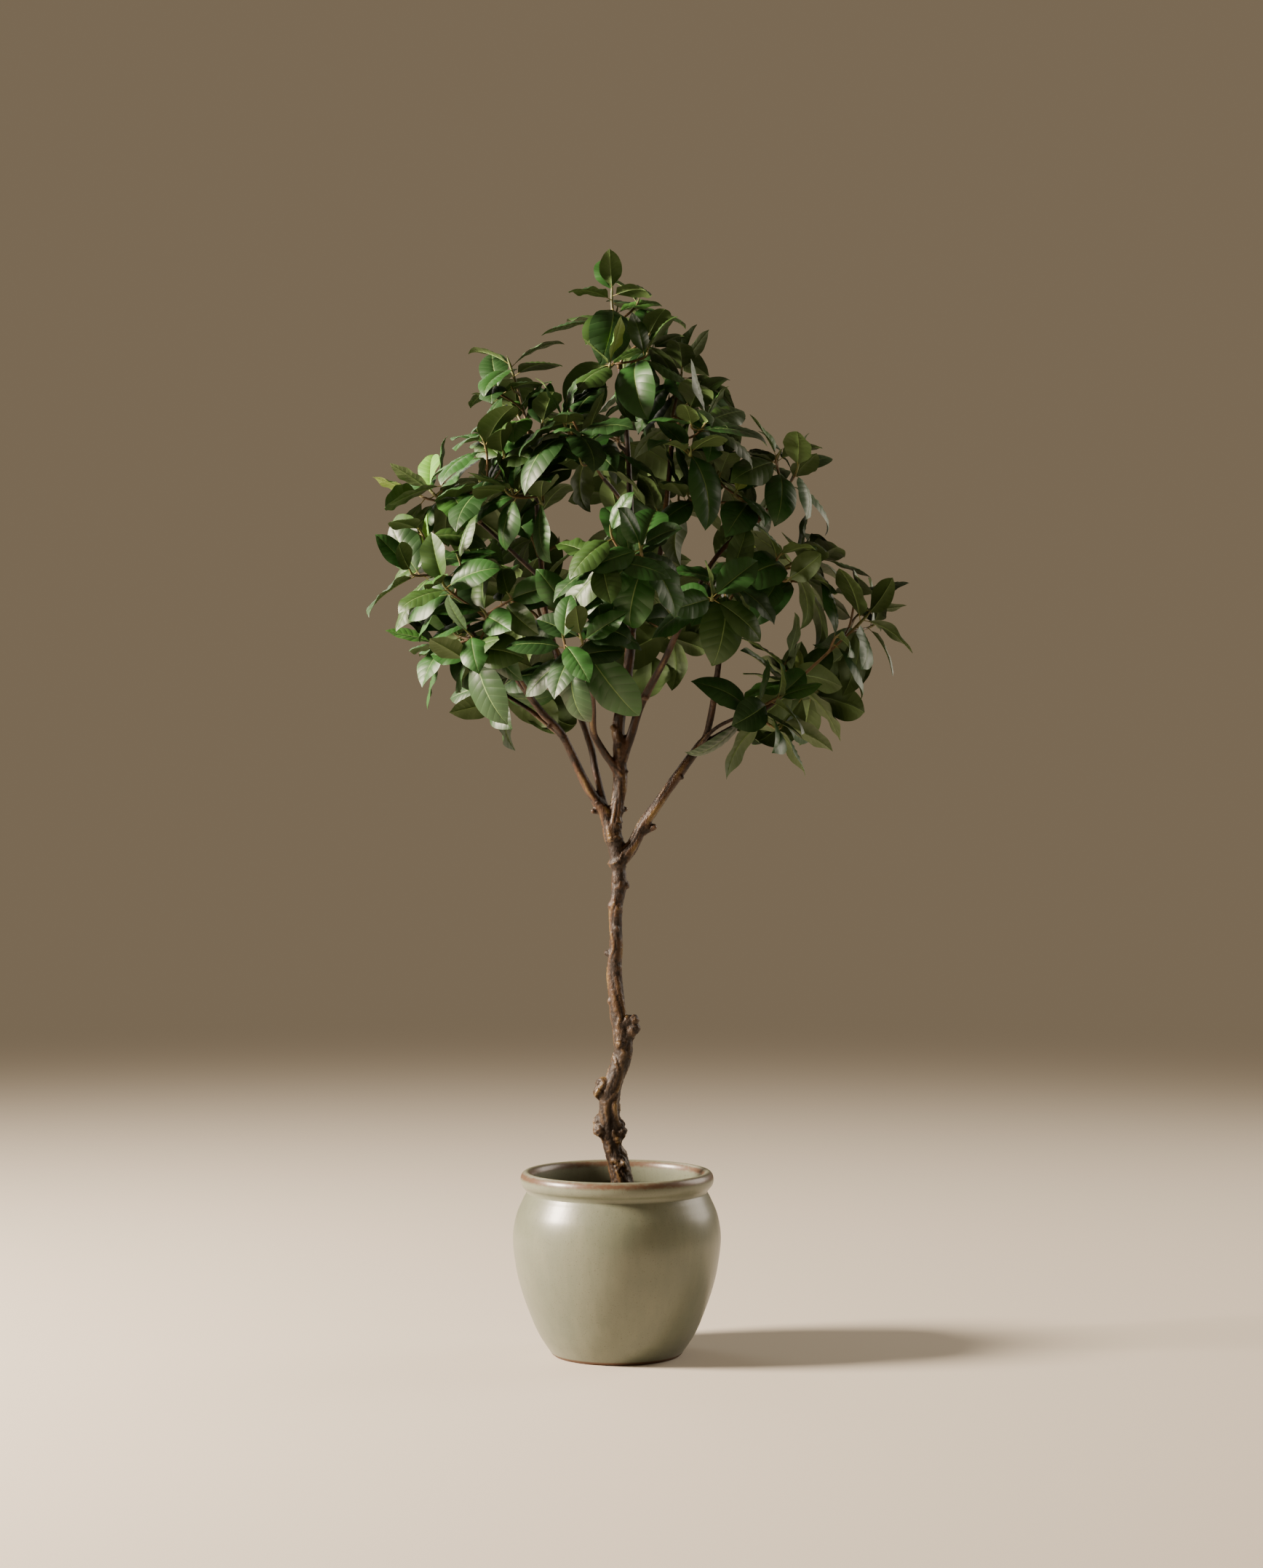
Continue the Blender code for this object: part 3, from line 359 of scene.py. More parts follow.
# the bough that carries each mass, its main rosette, how far the others stray from that, how many
# degrees more than usual its leaves hang, and a seed for each rosette
masses = {
    "crown_tip": ("leader_top", (-0.008, 0.000, 1.738), (0.03, 0.04, 0.04), 0, (1694, 993)),
    "high_right": ("leader_top", (0.054, 0.000, 1.672), (0.05, 0.05, 0.05), 0, (1784, 453)),
    "high_front": ("leader_top", (-0.011, -0.070, 1.608), (0.06, 0.04, 0.05), 0, (1401, 89)),
    "right_shoulder": ("leader_right", (0.106, 0.020, 1.620), (0.05, 0.05, 0.05), 0, (206, 445)),
    "right_peak": ("leader_right", (0.150, -0.010, 1.520), (0.05, 0.05, 0.05), 0, (1300, 245, 384)),
    "right_front": ("leader_right", (0.118, -0.130, 1.459), (0.05, 0.05, 0.05), 0, (1754, 530)),
    "upper_heart": ("upper_back_twig", (0.002, 0.110, 1.520), (0.06, 0.05, 0.05), 0,
                    (1300, 1307, 948)),
    "upper_front": ("upper_front_twig", (-0.050, -0.110, 1.480), (0.05, 0.05, 0.05), 0,
                    (357, 680, 195)),
    "front_heart": ("front_twig", (0.037, -0.260, 1.300), (0.06, 0.03, 0.05), 0, (79, 454, 841)),
    "front_skirt": ("cross_limb", (-0.055, -0.230, 1.160), (0.06, 0.05, 0.04), 10,
                    (35, 1450, 1202)),
    "left_heart": ("left_riser", (-0.122, -0.110, 1.383), (0.05, 0.04, 0.07), 0, (795, 61, 161)),
    "upper_left": ("left_riser", (-0.121, -0.040, 1.517), (0.05, 0.05, 0.04), 0, (1200, 1601)),
    "left_peak": ("left_riser", (-0.176, 0.000, 1.620), (0.03, 0.04, 0.06), 0, (99, 851, 1670)),
    "left_tip": ("left_high_limb", (-0.306, 0.000, 1.413), (0.04, 0.04, 0.05), 0,
                 (1259, 1300, 1361)),
    "left_inner": ("left_high_limb", (-0.210, -0.070, 1.425), (0.05, 0.05, 0.06), 0,
                   (183, 692, 731)),
    "left_wing": ("left_bough_outer", (-0.300, -0.050, 1.293), (0.05, 0.05, 0.05), 5,
                  (243, 955, 1370)),
    "left_low": ("left_front_limb", (-0.262, -0.080, 1.175), (0.05, 0.04, 0.04), 20, (1645, 1652)),
    "left_front": ("left_front_limb", (-0.210, -0.165, 1.205), (0.06, 0.04, 0.07), 10,
                   (1510, 229, 383, 762)),
    "low_left": ("lower_left", (-0.208, 0.050, 1.092), (0.06, 0.06, 0.03), 40, (1596, 288, 89)),
    "back_left": ("back_left_limb", (-0.200, 0.200, 1.260), (0.07, 0.05, 0.06), 15, (1146, 1594, 1870)),
    "back_left_high": ("back_left_limb", (-0.135, 0.190, 1.405), (0.06, 0.06, 0.06), 0,
                       (50, 982, 1309)),
    "back_high": ("back_limb", (0.020, 0.210, 1.435), (0.07, 0.05, 0.07), 0, (300, 1056, 350)),
    "back_middle": ("back_limb", (0.005, 0.280, 1.280), (0.07, 0.04, 0.06), 10, (1856, 1544, 1315)),
    "back_right": ("back_right_limb", (0.165, 0.200, 1.315), (0.06, 0.06, 0.07), 5,
                   (825, 1873, 880)),
    "back_low": ("back_right_limb", (0.090, 0.180, 1.180), (0.06, 0.05, 0.04), 25, (1216, 254)),
    "right_middle": ("right_riser", (0.180, -0.120, 1.255), (0.06, 0.05, 0.04), 10, (740, 135)),
    "right_out": ("right_riser", (0.295, -0.020, 1.300), (0.06, 0.06, 0.05), 10, (250, 1082, 1628)),
    "right_high": ("upper_right", (0.290, 0.000, 1.440), (0.03, 0.06, 0.06), 0, (1320, 788, 1962)),
    "right_inner": ("upper_right", (0.190, -0.060, 1.400), (0.06, 0.05, 0.05), 0,
                    (795, 1312, 1537)),
    "right_low": ("low_right_twig", (0.225, -0.075, 1.052), (0.05, 0.03, 0.03), 30,
                  (73, 177, 1214)),
    "right_low_back": ("right_arm", (0.297, 0.060, 1.093), (0.05, 0.04, 0.03), 30,
                       (1274, 460, 571)),
    "far_right": ("right_arm", (0.410, 0.000, 1.208), (0.05, 0.05, 0.05), 15, (622, 497, 1614)),
}
massFields = ("bough", "middle", "spread", "hang", "seeds")
masses = {massName: dict(zip(massFields, row)) for massName, row in masses.items()}

twigGrowth = {
    "reach": 0.22,  # radius of the space that a mass keeps to
    "heart": (0.010, 0.000, 1.250),  # of the crown, which the twigs turn away from
    "stray": (0.75, 1.35),  # how far out in its mass a rosette lies
    "seatRadius": 0.0027,  # circle that the stems sharing a tip stand on
    "stemRadius": 0.0022,  # where it meets its bough
    "stemSteps": 5,
    "radius": 0.0019,  # under its rosette
    "steps": 3,
    "sides": 3,
    "finer": 8,  # times as many steps in the twigs that are seen
    "fork": (0.40, 0.15),  # where the first twig leaves the stem, and each further one after it
    "out": 0.80,  # how much a twig's end turns away from the heart,
    "rise": 0.60,  # upwards,
    "lean": 0.45,  # and by chance,
    "leanUp": (-0.3, 1),  # which may take it down and up by so much
    "aim": 1.5,  # how much a twig starts towards its rosette, its stem's way being 1
    "settle": 0.8,  # how firmly it turns to its end's direction
    "sway": 0.004,  # how much further it swings out on each new try
    "tries": 8,
    "air": 0.0005,  # kept free round it
}

leafGrowth = {
    "counts": (4, 5, 5, 6),  # leaves of a rosette, drawn by its seed
    "length": 0.132,  # of the oldest leaf, with its stalk
    "young": 0.68,  # the youngest leaf's share of that
    "width": 0.48,  # shares of the length
    "thickness": 0.020,
    "fold": 0.10,  # how far the edges rise, as a share of the half width
    "sink": 0.0006,  # how far the pointed root lies past the middle of its twig
    "root": 0.30,  # share of the neck where leaves of one mass may cross
    "open": (104, 34),  # degrees from the twig, oldest and youngest
    "bend": (70, 24),  # degrees that it curves down over its length
    "sky": 0.55,  # how much a leaf turns its face to the sky,
    "sun": 0.70,  # and out of the crown,
    "inner": 0.5,  # and towards the tip of the twig that bears it
    "openStray": 0.35,  # how far chance opens or closes a leaf, in radians,
    "turnStray": 0.25,  # turns it round the twig,
    "rollStray": 0.45,  # and rolls it about its own midrib
    "sizeStray": (0.85, 1.12),
    "widthStray": (0.9, 1.1),
    "bendStray": (0.5, 1.5),
    "leastBend": 0.08,
    "looser": 0.04,  # added to the first two strays for each new try at placing a leaf,
    "smaller": 0.012,  # and taken off its length
    "pitch": 0.026,  # length of twig that the leaves sit along
    "top": 0.003,  # from the youngest leaf's root to the twig's tip
    "sections": ((0.12, 0.10), (0.50, 1.28)),  # place and half width of the plain leaf's sections
    "tries": 24,
    "air": 0.0012,  # kept free round it
}
goldenAngle = math.radians(137.508)


def seats(line, centres):
    # where the stems that share a bough's tip begin, and the way that they start
    _, path, start = line
    way, side, up = frames(path, start)[-1]
    foot = path[-1] + way * boughForm["tipGap"]
    if len(centres) == 1:
        return [foot], way
    bearings = [math.atan2((c - foot).dot(up), (c - foot).dot(side)) for c in centres]
    order = sorted(range(len(centres)), key=lambda k: bearings[k])
    places = [None] * len(centres)
    for step, k in enumerate(order):
        turn = bearings[order[0]] + step * math.tau / len(centres)
        places[k] = foot + (side * math.cos(turn) + up * math.sin(turn)) * twigGrowth["seatRadius"]
    return places, way


def scatter(rng, centre, spread):
    way = Vector((rng.gauss(0, 1), rng.gauss(0, 1), rng.gauss(0, 1))).normalized()
    share = rng.uniform(*twigGrowth["stray"])
    return centre + Vector([w * s * share for w, s in zip(way, spread)])


def arcPath(start, heading, end, finish, steps):
    # Hermite curve that leaves start along heading and reaches end along finish
    span = (end - start).length
    a = heading * span
    b = finish * span * twigGrowth["settle"]
    path = []
    for k in range(steps + 1):
        t = k / steps
        path.append(start * (2 * t ** 3 - 3 * t ** 2 + 1) + a * (t ** 3 - 2 * t ** 2 + t)
                    + end * (3 * t ** 2 - 2 * t ** 3) + b * (t ** 3 - t ** 2))
    return path


def planTwig(mass, k, seat, heading, stem, attempt, finer=1):
    # path, radii and end direction of twig k of a mass, the stem being twig 0
    rng = random.Random(mass["seeds"][k])
    centre = Vector(mass["middle"])
    place = scatter(rng, centre, mass["spread"]) if k else centre
    lean = Vector((rng.uniform(-1, 1), rng.uniform(-1, 1), rng.uniform(*twigGrowth["leanUp"])))
    outward = (place - Vector(twigGrowth["heart"])).normalized()
    finish = outward * twigGrowth["out"] + Vector((0, 0, twigGrowth["rise"]))
    finish = (finish + lean * twigGrowth["lean"]).normalized()
    sway = Vector([random.Random(attempt * 3 + axis).uniform(-1, 1) for axis in range(3)])
    sway *= twigGrowth["sway"] * attempt
    if k == 0:
        steps = twigGrowth["stemSteps"]
        path = arcPath(seat, heading, place, finish, steps * finer)
        low, high = twigGrowth["stemRadius"], twigGrowth["radius"]
    else:
        steps = twigGrowth["steps"]
        share = twigGrowth["fork"][0] + twigGrowth["fork"][1] * k
        root = pointAt(stem, share)
        way = directions(stem)[round(share * (len(stem) - 1))]
        first = (way + (place - root).normalized() * twigGrowth["aim"]).normalized()
        path = arcPath(root, first, place, finish, steps * finer)
        low = high = twigGrowth["radius"]
    last = len(path) - 1
    path = [p + sway * math.sin(math.pi * i / last) ** 2 for i, p in enumerate(path)]
    return path, [low + (high - low) * i / last for i in range(last + 1)], finish


def planLeaf(hang, seed, path, axis, index, count, attempt):
    # where a leaf of a rosette starts, how it lies, its length and its bend
    phase = random.Random(seed + 0.5).uniform(0, math.tau)
    rng = random.Random(seed * 1000 + index * 20 + attempt)
    age = index / (count - 1)
    loose = leafGrowth["looser"] * attempt
    turn = phase + index * goldenAngle + rng.uniform(-1, 1) * (leafGrowth["turnStray"] + 2 * loose)
    wide, narrow = leafGrowth["open"]
    opening = math.radians(wide + (narrow - wide) * age + hang * (1 - age))
    opening += rng.uniform(-1, 1) * (leafGrowth["openStray"] + loose)
    side = axis.cross(Vector((0.3, 1, 0.1))).normalized()
    out = side * math.cos(turn) + axis.cross(side) * math.sin(turn)
    forward = axis * math.cos(opening) + out * math.sin(opening)
    inner = axis * math.sin(opening) - out * math.cos(opening)
    outward = (path[-1] - Vector(twigGrowth["heart"])).normalized()
    sky = Vector((0, 0, leafGrowth["sky"])) + outward * leafGrowth["sun"] + inner * leafGrowth["inner"]
    up = (sky - forward * sky.dot(forward)).normalized()
    up = Matrix.Rotation(rng.uniform(-1, 1) * leafGrowth["rollStray"], 3, forward) @ up
    length = leafGrowth["length"] * (1 + (leafGrowth["young"] - 1) * age)
    length *= rng.uniform(*leafGrowth["sizeStray"])
    most, least = leafGrowth["bend"]
    bend = max(math.radians(most + (least - most) * age), leafGrowth["leastBend"])
    bend *= rng.uniform(*leafGrowth["bendStray"])
    below = (leafGrowth["pitch"] * (1 - age) + leafGrowth["top"]) / lengths(path)[-1]
    return dict(root=pointAt(path, 1 - below), forward=forward, up=up, bend=bend, age=age,
                length=length * (1 - leafGrowth["smaller"] * attempt), below=below,
                width=length * leafGrowth["width"] * rng.uniform(*leafGrowth["widthStray"]),
                seed=seed * 1000 + index * 20, rosette=seed)


def leafFrame(leaf, t):
    # centre, forward and up at share t of the leaf's length; it curves down on an arc
    bend, length = leaf["bend"], leaf["length"]
    turn = bend * t
    centre = leaf["root"] + leaf["forward"] * (length * math.sin(turn) / bend)
    centre = centre - leaf["up"] * (length * (1 - math.cos(turn)) / bend)
    forward = leaf["forward"] * math.cos(turn) - leaf["up"] * math.sin(turn)
    up = leaf["up"] * math.cos(turn) + leaf["forward"] * math.sin(turn)
    return centre, forward, up


def plainLeaf(leaf, swell=0):
    # the solid's leaf, for the tests: pointed root, narrow neck, one wide section, tip
    thick = leaf["length"] * leafGrowth["thickness"]
    verts = [leaf["root"] - leaf["forward"] * leafGrowth["sink"]]
    for t, share in leafGrowth["sections"]:
        centre, forward, up = leafFrame(leaf, t)
        side = forward.cross(up)
        half = leaf["width"] / 2 * share
        edge = up * (half * leafGrowth["fold"] + thick / 2 + swell)
        keel = up * (thick / 2 - half * leafGrowth["fold"] + swell)
        verts += [centre - side * (half + swell) + edge, centre + side * (half + swell) + edge,
                  centre - keel]
    verts.append(leafFrame(leaf, 1)[0])
    faces = []
    for k in range(3):
        after = (k + 1) % 3
        faces += [(0, 1 + after, 1 + k), (1 + k, 1 + after, 4 + after), (1 + k, 4 + after, 4 + k),
                  (4 + k, 4 + after, 7)]
    return verts, faces


def bladeOnly(shape):
    # the leaf without the foot of its stalk, where leaves of one mass may cross
    verts, faces = shape
    neck = (verts[1] + verts[2] + verts[3]) / 3
    return [verts[0].lerp(neck, leafGrowth["root"]), *verts[1:]], faces


def entry(shape):
    # a shape's bounding ball and search tree
    verts, faces = shape
    centre = sum(verts, Vector()) / len(verts)
    return centre, max((v - centre).length for v in verts), BVHTree.FromPolygons(verts, faces)


def touches(shape, others):
    centre, radius, tree = entry(shape)
    return any((centre - c).length <= radius + r and tree.overlap(t) for c, r, t in others)


def growTwigs(mass, seat, heading, taken):
    # the stem of a mass and the twigs that find room on it, coarse and fine
    shapes, twigs, stem, fineStem = [], [], None, None
    sides = twigGrowth["sides"]
    for k in range(len(mass["seeds"])):
        for attempt in range(twigGrowth["tries"]):
            path, radii, finish = planTwig(mass, k, seat, heading, stem, attempt)
            free = path[1:] if k == 0 else path
            fat = tube(free, [r + twigGrowth["air"] for r in radii[-len(free):]], sides)
            if not touches(fat, taken):
                break
        else:
            if k:
                continue
        fine = planTwig(mass, k, seat, heading, fineStem, attempt, twigGrowth["finer"])[0]
        stem, fineStem = stem or path, fineStem or fine
        shapes.append(tube(path, radii, sides, None if k else heading))
        twigs.append(dict(k=k, path=path, fine=fine, axis=finish, leaves=[]))
    return shapes, twigs


def addLeaf(twig, own, tries, isFree, *place):
    # the first try at a leaf that is free; place is its hang, seed, index and count
    hang, seed, index, count = place
    for attempt in range(tries):
        leaf = planLeaf(hang, seed, twig["path"], twig["axis"], index, count, attempt)
        if isFree(leaf):
            own.append(entry(bladeOnly(plainLeaf(leaf))))
            twig["leaves"].append(leaf)
            return


def growLeaves(mass, twigs, own, others):
    # the rosettes that the solids bear, and the shapes of their leaves
    for twig in twigs:
        seed = mass["seeds"][twig["k"]]
        count = random.Random(seed + 0.25).choice(leafGrowth["counts"])
        for index in reversed(range(count)):
            addLeaf(twig, own, leafGrowth["tries"], lambda leaf: hasRoom(leaf, mass, own, others),
                    mass["hang"], seed, index, count)
    return [plainLeaf(leaf) for twig in twigs for leaf in twig["leaves"]]


def hasRoom(leaf, mass, own, others):
    # inside the mass's space, and clear of everything that has grown
    if (leafFrame(leaf, 1)[0] - Vector(mass["middle"])).length > twigGrowth["reach"]:
        return False
    fat = plainLeaf(leaf, leafGrowth["air"])
    return not touches(fat, others) and not touches(bladeOnly(fat), own)


# What the solids leave out: the last small leaves at each bud, and short shoots inside the crown
shoots = {
    "budLeaves": (1, 1, 2),  # how many a bud, a twig and a shoot may get, drawn by seed
    "perTwig": (1, 2, 2),
    "leaves": (3, 3, 4),
    "leastLeaves": 2,  # a shoot that bears fewer is left out
    "share": (0.30, 0.85),  # how far up its twig a shoot leaves it
    "length": (0.028, 0.060),
    "way": (0.5, 0.85, 0.25),  # how much it grows along its twig, out from it, and upwards
    "lean": 0.4,  # how much its end turns out from the twig
    "steps": 8,
    "hang": 6,  # degrees more than usual that its leaves hang
    "tries": 5,
    "nextSeed": 7919,  # added to a shoot's seed for each new try
    "spare": 0.002,  # how far past the solids' own reach they may go
    "looks": (0.25, 0.5, 0.75, 1.0),  # along a leaf, the spots that are tested for sky
    "eye": 4.9,  # how far in front of the plant the eye is,
    "level": 0.93,  # and how high
    # places that stay open as the crown is seen from the front: across, height, radius;
    # first the gaps inside it, then the bays along its edge
    "sky": ((-0.096, 1.372, 0.030), (-0.050, 1.352, 0.030), (0.128, 1.332, 0.030),
            (0.282, 1.344, 0.022), (0.210, 1.130, 0.032), (0.270, 1.184, 0.024),
            (0.370, 1.250, 0.024), (0.135, 1.140, 0.022), (-0.022, 1.040, 0.030),
            (-0.076, 1.442, 0.016), (-0.276, 1.290, 0.016), (0.095, 1.309, 0.016),
            (-0.188, 1.660, 0.034), (0.028, 1.768, 0.024), (0.286, 1.512, 0.024),
            (0.335, 1.490, 0.022), (0.338, 1.357, 0.022), (0.386, 1.318, 0.022),
            (0.414, 1.280, 0.022), (0.262, 0.957, 0.026), (-0.266, 1.434, 0.022),
            (-0.338, 1.444, 0.022), (-0.252, 1.538, 0.022), (-0.147, 1.573, 0.020)),
}


def seesSky(leaf):
    # whether the leaf shuts a gap, as the eye sees it from the front
    for share in shoots["looks"]:
        spot = leafFrame(leaf, share)[0]
        nearer = shoots["eye"] / (shoots["eye"] + spot.y)
        x, z = spot.x * nearer, shoots["level"] + (spot.z - shoots["level"]) * nearer
        for across, height, radius in shoots["sky"]:
            if math.hypot(x - across, z - height) < radius:
                return True
    return False


def fits(leaf, mass, own, others):
    # a leaf that the solids leave out keeps to their reach and leaves the crown's gaps open
    low, high = cadBox
    spare = shoots["spare"]
    for point in plainLeaf(leaf)[0]:
        if any(not a - spare < c < b + spare for a, c, b in zip(low, point, high)):
            return False
    return not seesSky(leaf) and hasRoom(leaf, mass, own, others)


def growBudLeaves(mass, twig, seed, count, own, others):
    # the smallest leaves, which go on where the count of the rosette's own leaves ends
    for index in range(count, count + random.Random(seed + 0.4).choice(shoots["budLeaves"])):
        addLeaf(twig, own, shoots["tries"], lambda leaf: fits(leaf, mass, own, others),
                mass["hang"], seed, index, count)


def growShoot(mass, twig, seed, own, others):
    # a short side twig with a few leaves, where the crown has room for it
    rng = random.Random(seed)
    path = twig["path"]
    heart = Vector(twigGrowth["heart"])
    share = rng.uniform(*shoots["share"])
    root = pointAt(path, share)
    way = directions(path)[round(share * (len(path) - 1))]
    side = way.orthogonal().normalized()
    out = Matrix.Rotation(rng.uniform(0, math.tau), 3, way) @ side
    long = rng.uniform(*shoots["length"])
    ahead, aside, rise = shoots["way"]
    end = root + (way * ahead + out * aside + Vector((0, 0, rise))).normalized() * long
    if (end - heart).length > (path[-1] - heart).length:
        return None
    outward = (end - heart).normalized()
    axis = outward * twigGrowth["out"] + Vector((0, 0, twigGrowth["rise"]))
    axis = (axis + out * shoots["lean"]).normalized()
    line = arcPath(root, (way + out).normalized(), end, axis, shoots["steps"])
    thin = [twigGrowth["radius"] + twigGrowth["air"]] * len(line)
    if touches(tube(line[1:], thin[1:], twigGrowth["sides"]), others):
        return None
    shoot = dict(k="shoot", path=line, fine=line, axis=axis, leaves=[])
    count = rng.choice(shoots["leaves"])
    for index in reversed(range(count)):
        addLeaf(shoot, own, shoots["tries"], lambda leaf: fits(leaf, mass, own, others),
                shoots["hang"], seed, index + 1, count + 1)
    if len(shoot["leaves"]) < shoots["leastLeaves"]:
        return None
    own.append(entry(tube(line, thin, twigGrowth["sides"])))
    return shoot


def fillCrown(twigs, grown, wood):
    for name, mass in masses.items():
        others = wood + [one for other, ones in grown.items() if other != name for one in ones]
        own = grown[name]
        added = []
        for twig in twigs[name]:
            seed = mass["seeds"][twig["k"]]
            count = random.Random(seed + 0.25).choice(leafGrowth["counts"])
            growBudLeaves(mass, twig, seed, count, own, others)
            for k in range(random.Random(seed + 0.6).choice(shoots["perTwig"])):
                for attempt in range(shoots["tries"]):
                    shootSeed = seed * 10 + k + attempt * shoots["nextSeed"] + 0.5
                    shoot = growShoot(mass, twig, shootSeed, own, others)
                    if shoot:
                        added.append(shoot)
                        break
        twigs[name] += added


def growCrown():
    # every mass's twigs first, then the leaves that find room among them
    wood = []
    for name in limbLines:
        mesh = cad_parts[name].data
        wood.append(entry(([v.co.copy() for v in mesh.vertices],
                           [tuple(p.vertices) for p in mesh.polygons])))
    shapes, twigs = {}, {}
    for bough in dict.fromkeys(mass["bough"] for mass in masses.values()):
        group = [name for name, mass in masses.items() if mass["bough"] == bough]
        places, heading = seats(limbLines[bough], [Vector(masses[name]["middle"]) for name in group])
        for name, place in zip(group, places):
            taken = wood + [entry(s) for grown in shapes.values() for s in grown]
            shapes[name], twigs[name] = growTwigs(masses[name], place, heading, taken)
    grown = {name: [entry(s) for s in found] for name, found in shapes.items()}
    for name, mass in masses.items():
        others = wood + [one for other, ones in grown.items() if other != name for one in ones]
        grown[name] += [entry(s) for s in growLeaves(mass, twigs[name], list(grown[name]), others)]
    fillCrown(twigs, grown, wood)
    return twigs


crown = growCrown()
allLeaves = [leaf for twigs in crown.values() for twig in twigs for leaf in twig["leaves"]]
print("crown grown:", sum(len(t) for t in crown.values()), "twigs,", len(allLeaves), "leaves")

# Leaves: living ficus leaves, broad and leathery. A cuticle of wax over the blade gives a satin
# gloss, the side veins press in so that the light breaks between them, and the underside is dull.

leafColours = {
    "deep": "#1C3B17",
    "mid": "#254E1D",
    "olive": "#2E4A1B",
    "fresh": "#396527",
    "young": "#5F9136",
    "vein": "#2D4A26",
    "youngVein": "#79A54A",
    "under": "#405429",
    "youngUnder": "#7E9648",
    "rib": "#667F48",
    "stalk": "#7D7440",
}
leafFinish = {
    "face": (0.47, 1.44),  # roughness, and index of refraction of the wax
    "under": (0.62, 1.40),
    "cuticle": 1.3,  # millimetres between the dimples of the wax
    "dimples": (0.06, 0.0004),  # their strength and depth
}


def leafMaterial(name, colour, roughness, ior):
    made, tree, shader = newMaterial(name, colour, roughness, ior)
    place = addNode(tree, "ShaderNodeTexCoord", output="Object")
    dimples = addNode(tree, "ShaderNodeTexNoise", {
        "Vector": place, "Scale": perMetre(leafFinish["cuticle"]), "Detail": 2.0})
    strength, depth = leafFinish["dimples"]
    setInputs(tree, shader, {"Normal": addNode(tree, "ShaderNodeBump", {
        "Height": dimples, "Strength": strength, "Distance": depth})})
    return made


leafMaterials = {}
for toneName, toneCode in leafColours.items():
    dull = toneName in ("under", "youngUnder", "rib", "stalk")
    leafMaterials[toneName] = leafMaterial(
        ("matt_leaf_" if dull else "waxy_leaf_") + toneName, toneCode,
        *leafFinish["under" if dull else "face"])
leafSlots = {toneName: k for k, toneName in enumerate(leafMaterials)}

leafBlade = {
    "veins": 8,  # pairs of side veins
    "veinFrom": 0.05,  # where they start along the blade, and over how much of it they lie
    "veinOver": 0.88,
    "veinHalf": 0.0038,  # half a vein's width, as a share of the blade's length
    "lastRow": 0.97,  # before the tip
    # along the blade, and half the width there as a share of the widest
    "outline": ((0.00, 0.05), (0.05, 0.28), (0.14, 0.61), (0.28, 0.90), (0.42, 1.00), (0.56, 0.98),
                (0.70, 0.85), (0.82, 0.60), (0.90, 0.36), (0.955, 0.15), (1.00, 0.02)),
    "columns": (0.028, 0.34, 0.68, 1.0),  # from the midrib to the edge
    "sweep": 0.15,  # how far forward a vein runs on its way to the edge,
    "bow": 1.3,  # and how late it turns that way
    "fold": (6, 26),  # degrees that each half rises from the midrib,
    "foldYoung": 0.5,  # how much more it does so on the youngest leaf,
    "flatter": 0.4,  # how much less at the tip,
    "arch": (0.20, 0.55),  # and how much it curves back down towards its edge
    "pucker": 0.0011,  # how far the blade swells between its veins
    "wave": (0.0005, 0.0042),  # depth of the edge's waves,
    "waves": (1.5, 3.2),  # how many there are,
    "outOfStep": 1.7,  # and how far one edge's run ahead of the other's, in radians
    "thick": 0.0007,
    "groove": 0.0006,  # depth of the midrib above,
    "ribDepth": 0.0011,  # and how far it stands out below
    "curl": (-0.25, 0.75),  # extra bend of the tip, in radians,
    "curlFrom": 0.6,  # and from where
    "arcSamples": 61,
    "twist": 0.30,  # in radians over the blade,
    "twistFrom": 0.2,  # and where it is level
}
leafStalk = {
    "long": 0.10,  # share of the leaf's length
    "from": -0.012,  # it starts inside the twig,
    "under": 0.05,  # and runs on under the blade,
    "set": 0.0006,  # where it ends so far below the midrib
    "radius": 0.0011,
    "swell": (1.25, 0.50),  # shares of the radius at its foot and end
    "sides": 6,
    "rings": 6,
}
# each grown leaf's tone by its draw, up to these limits
leafTones = ((0.36, "deep"), (0.66, "mid"), (0.84, "olive"), (1.0, "fresh"))
budTones = {
    "young": 0.82,  # a rosette whose own draw is above this has a bright young bud,
    "fresh": 0.4,  # and a bud leaf of the others is fresh above this
    "together": 0.45,  # how much of a leaf's draw its whole rosette shares
}


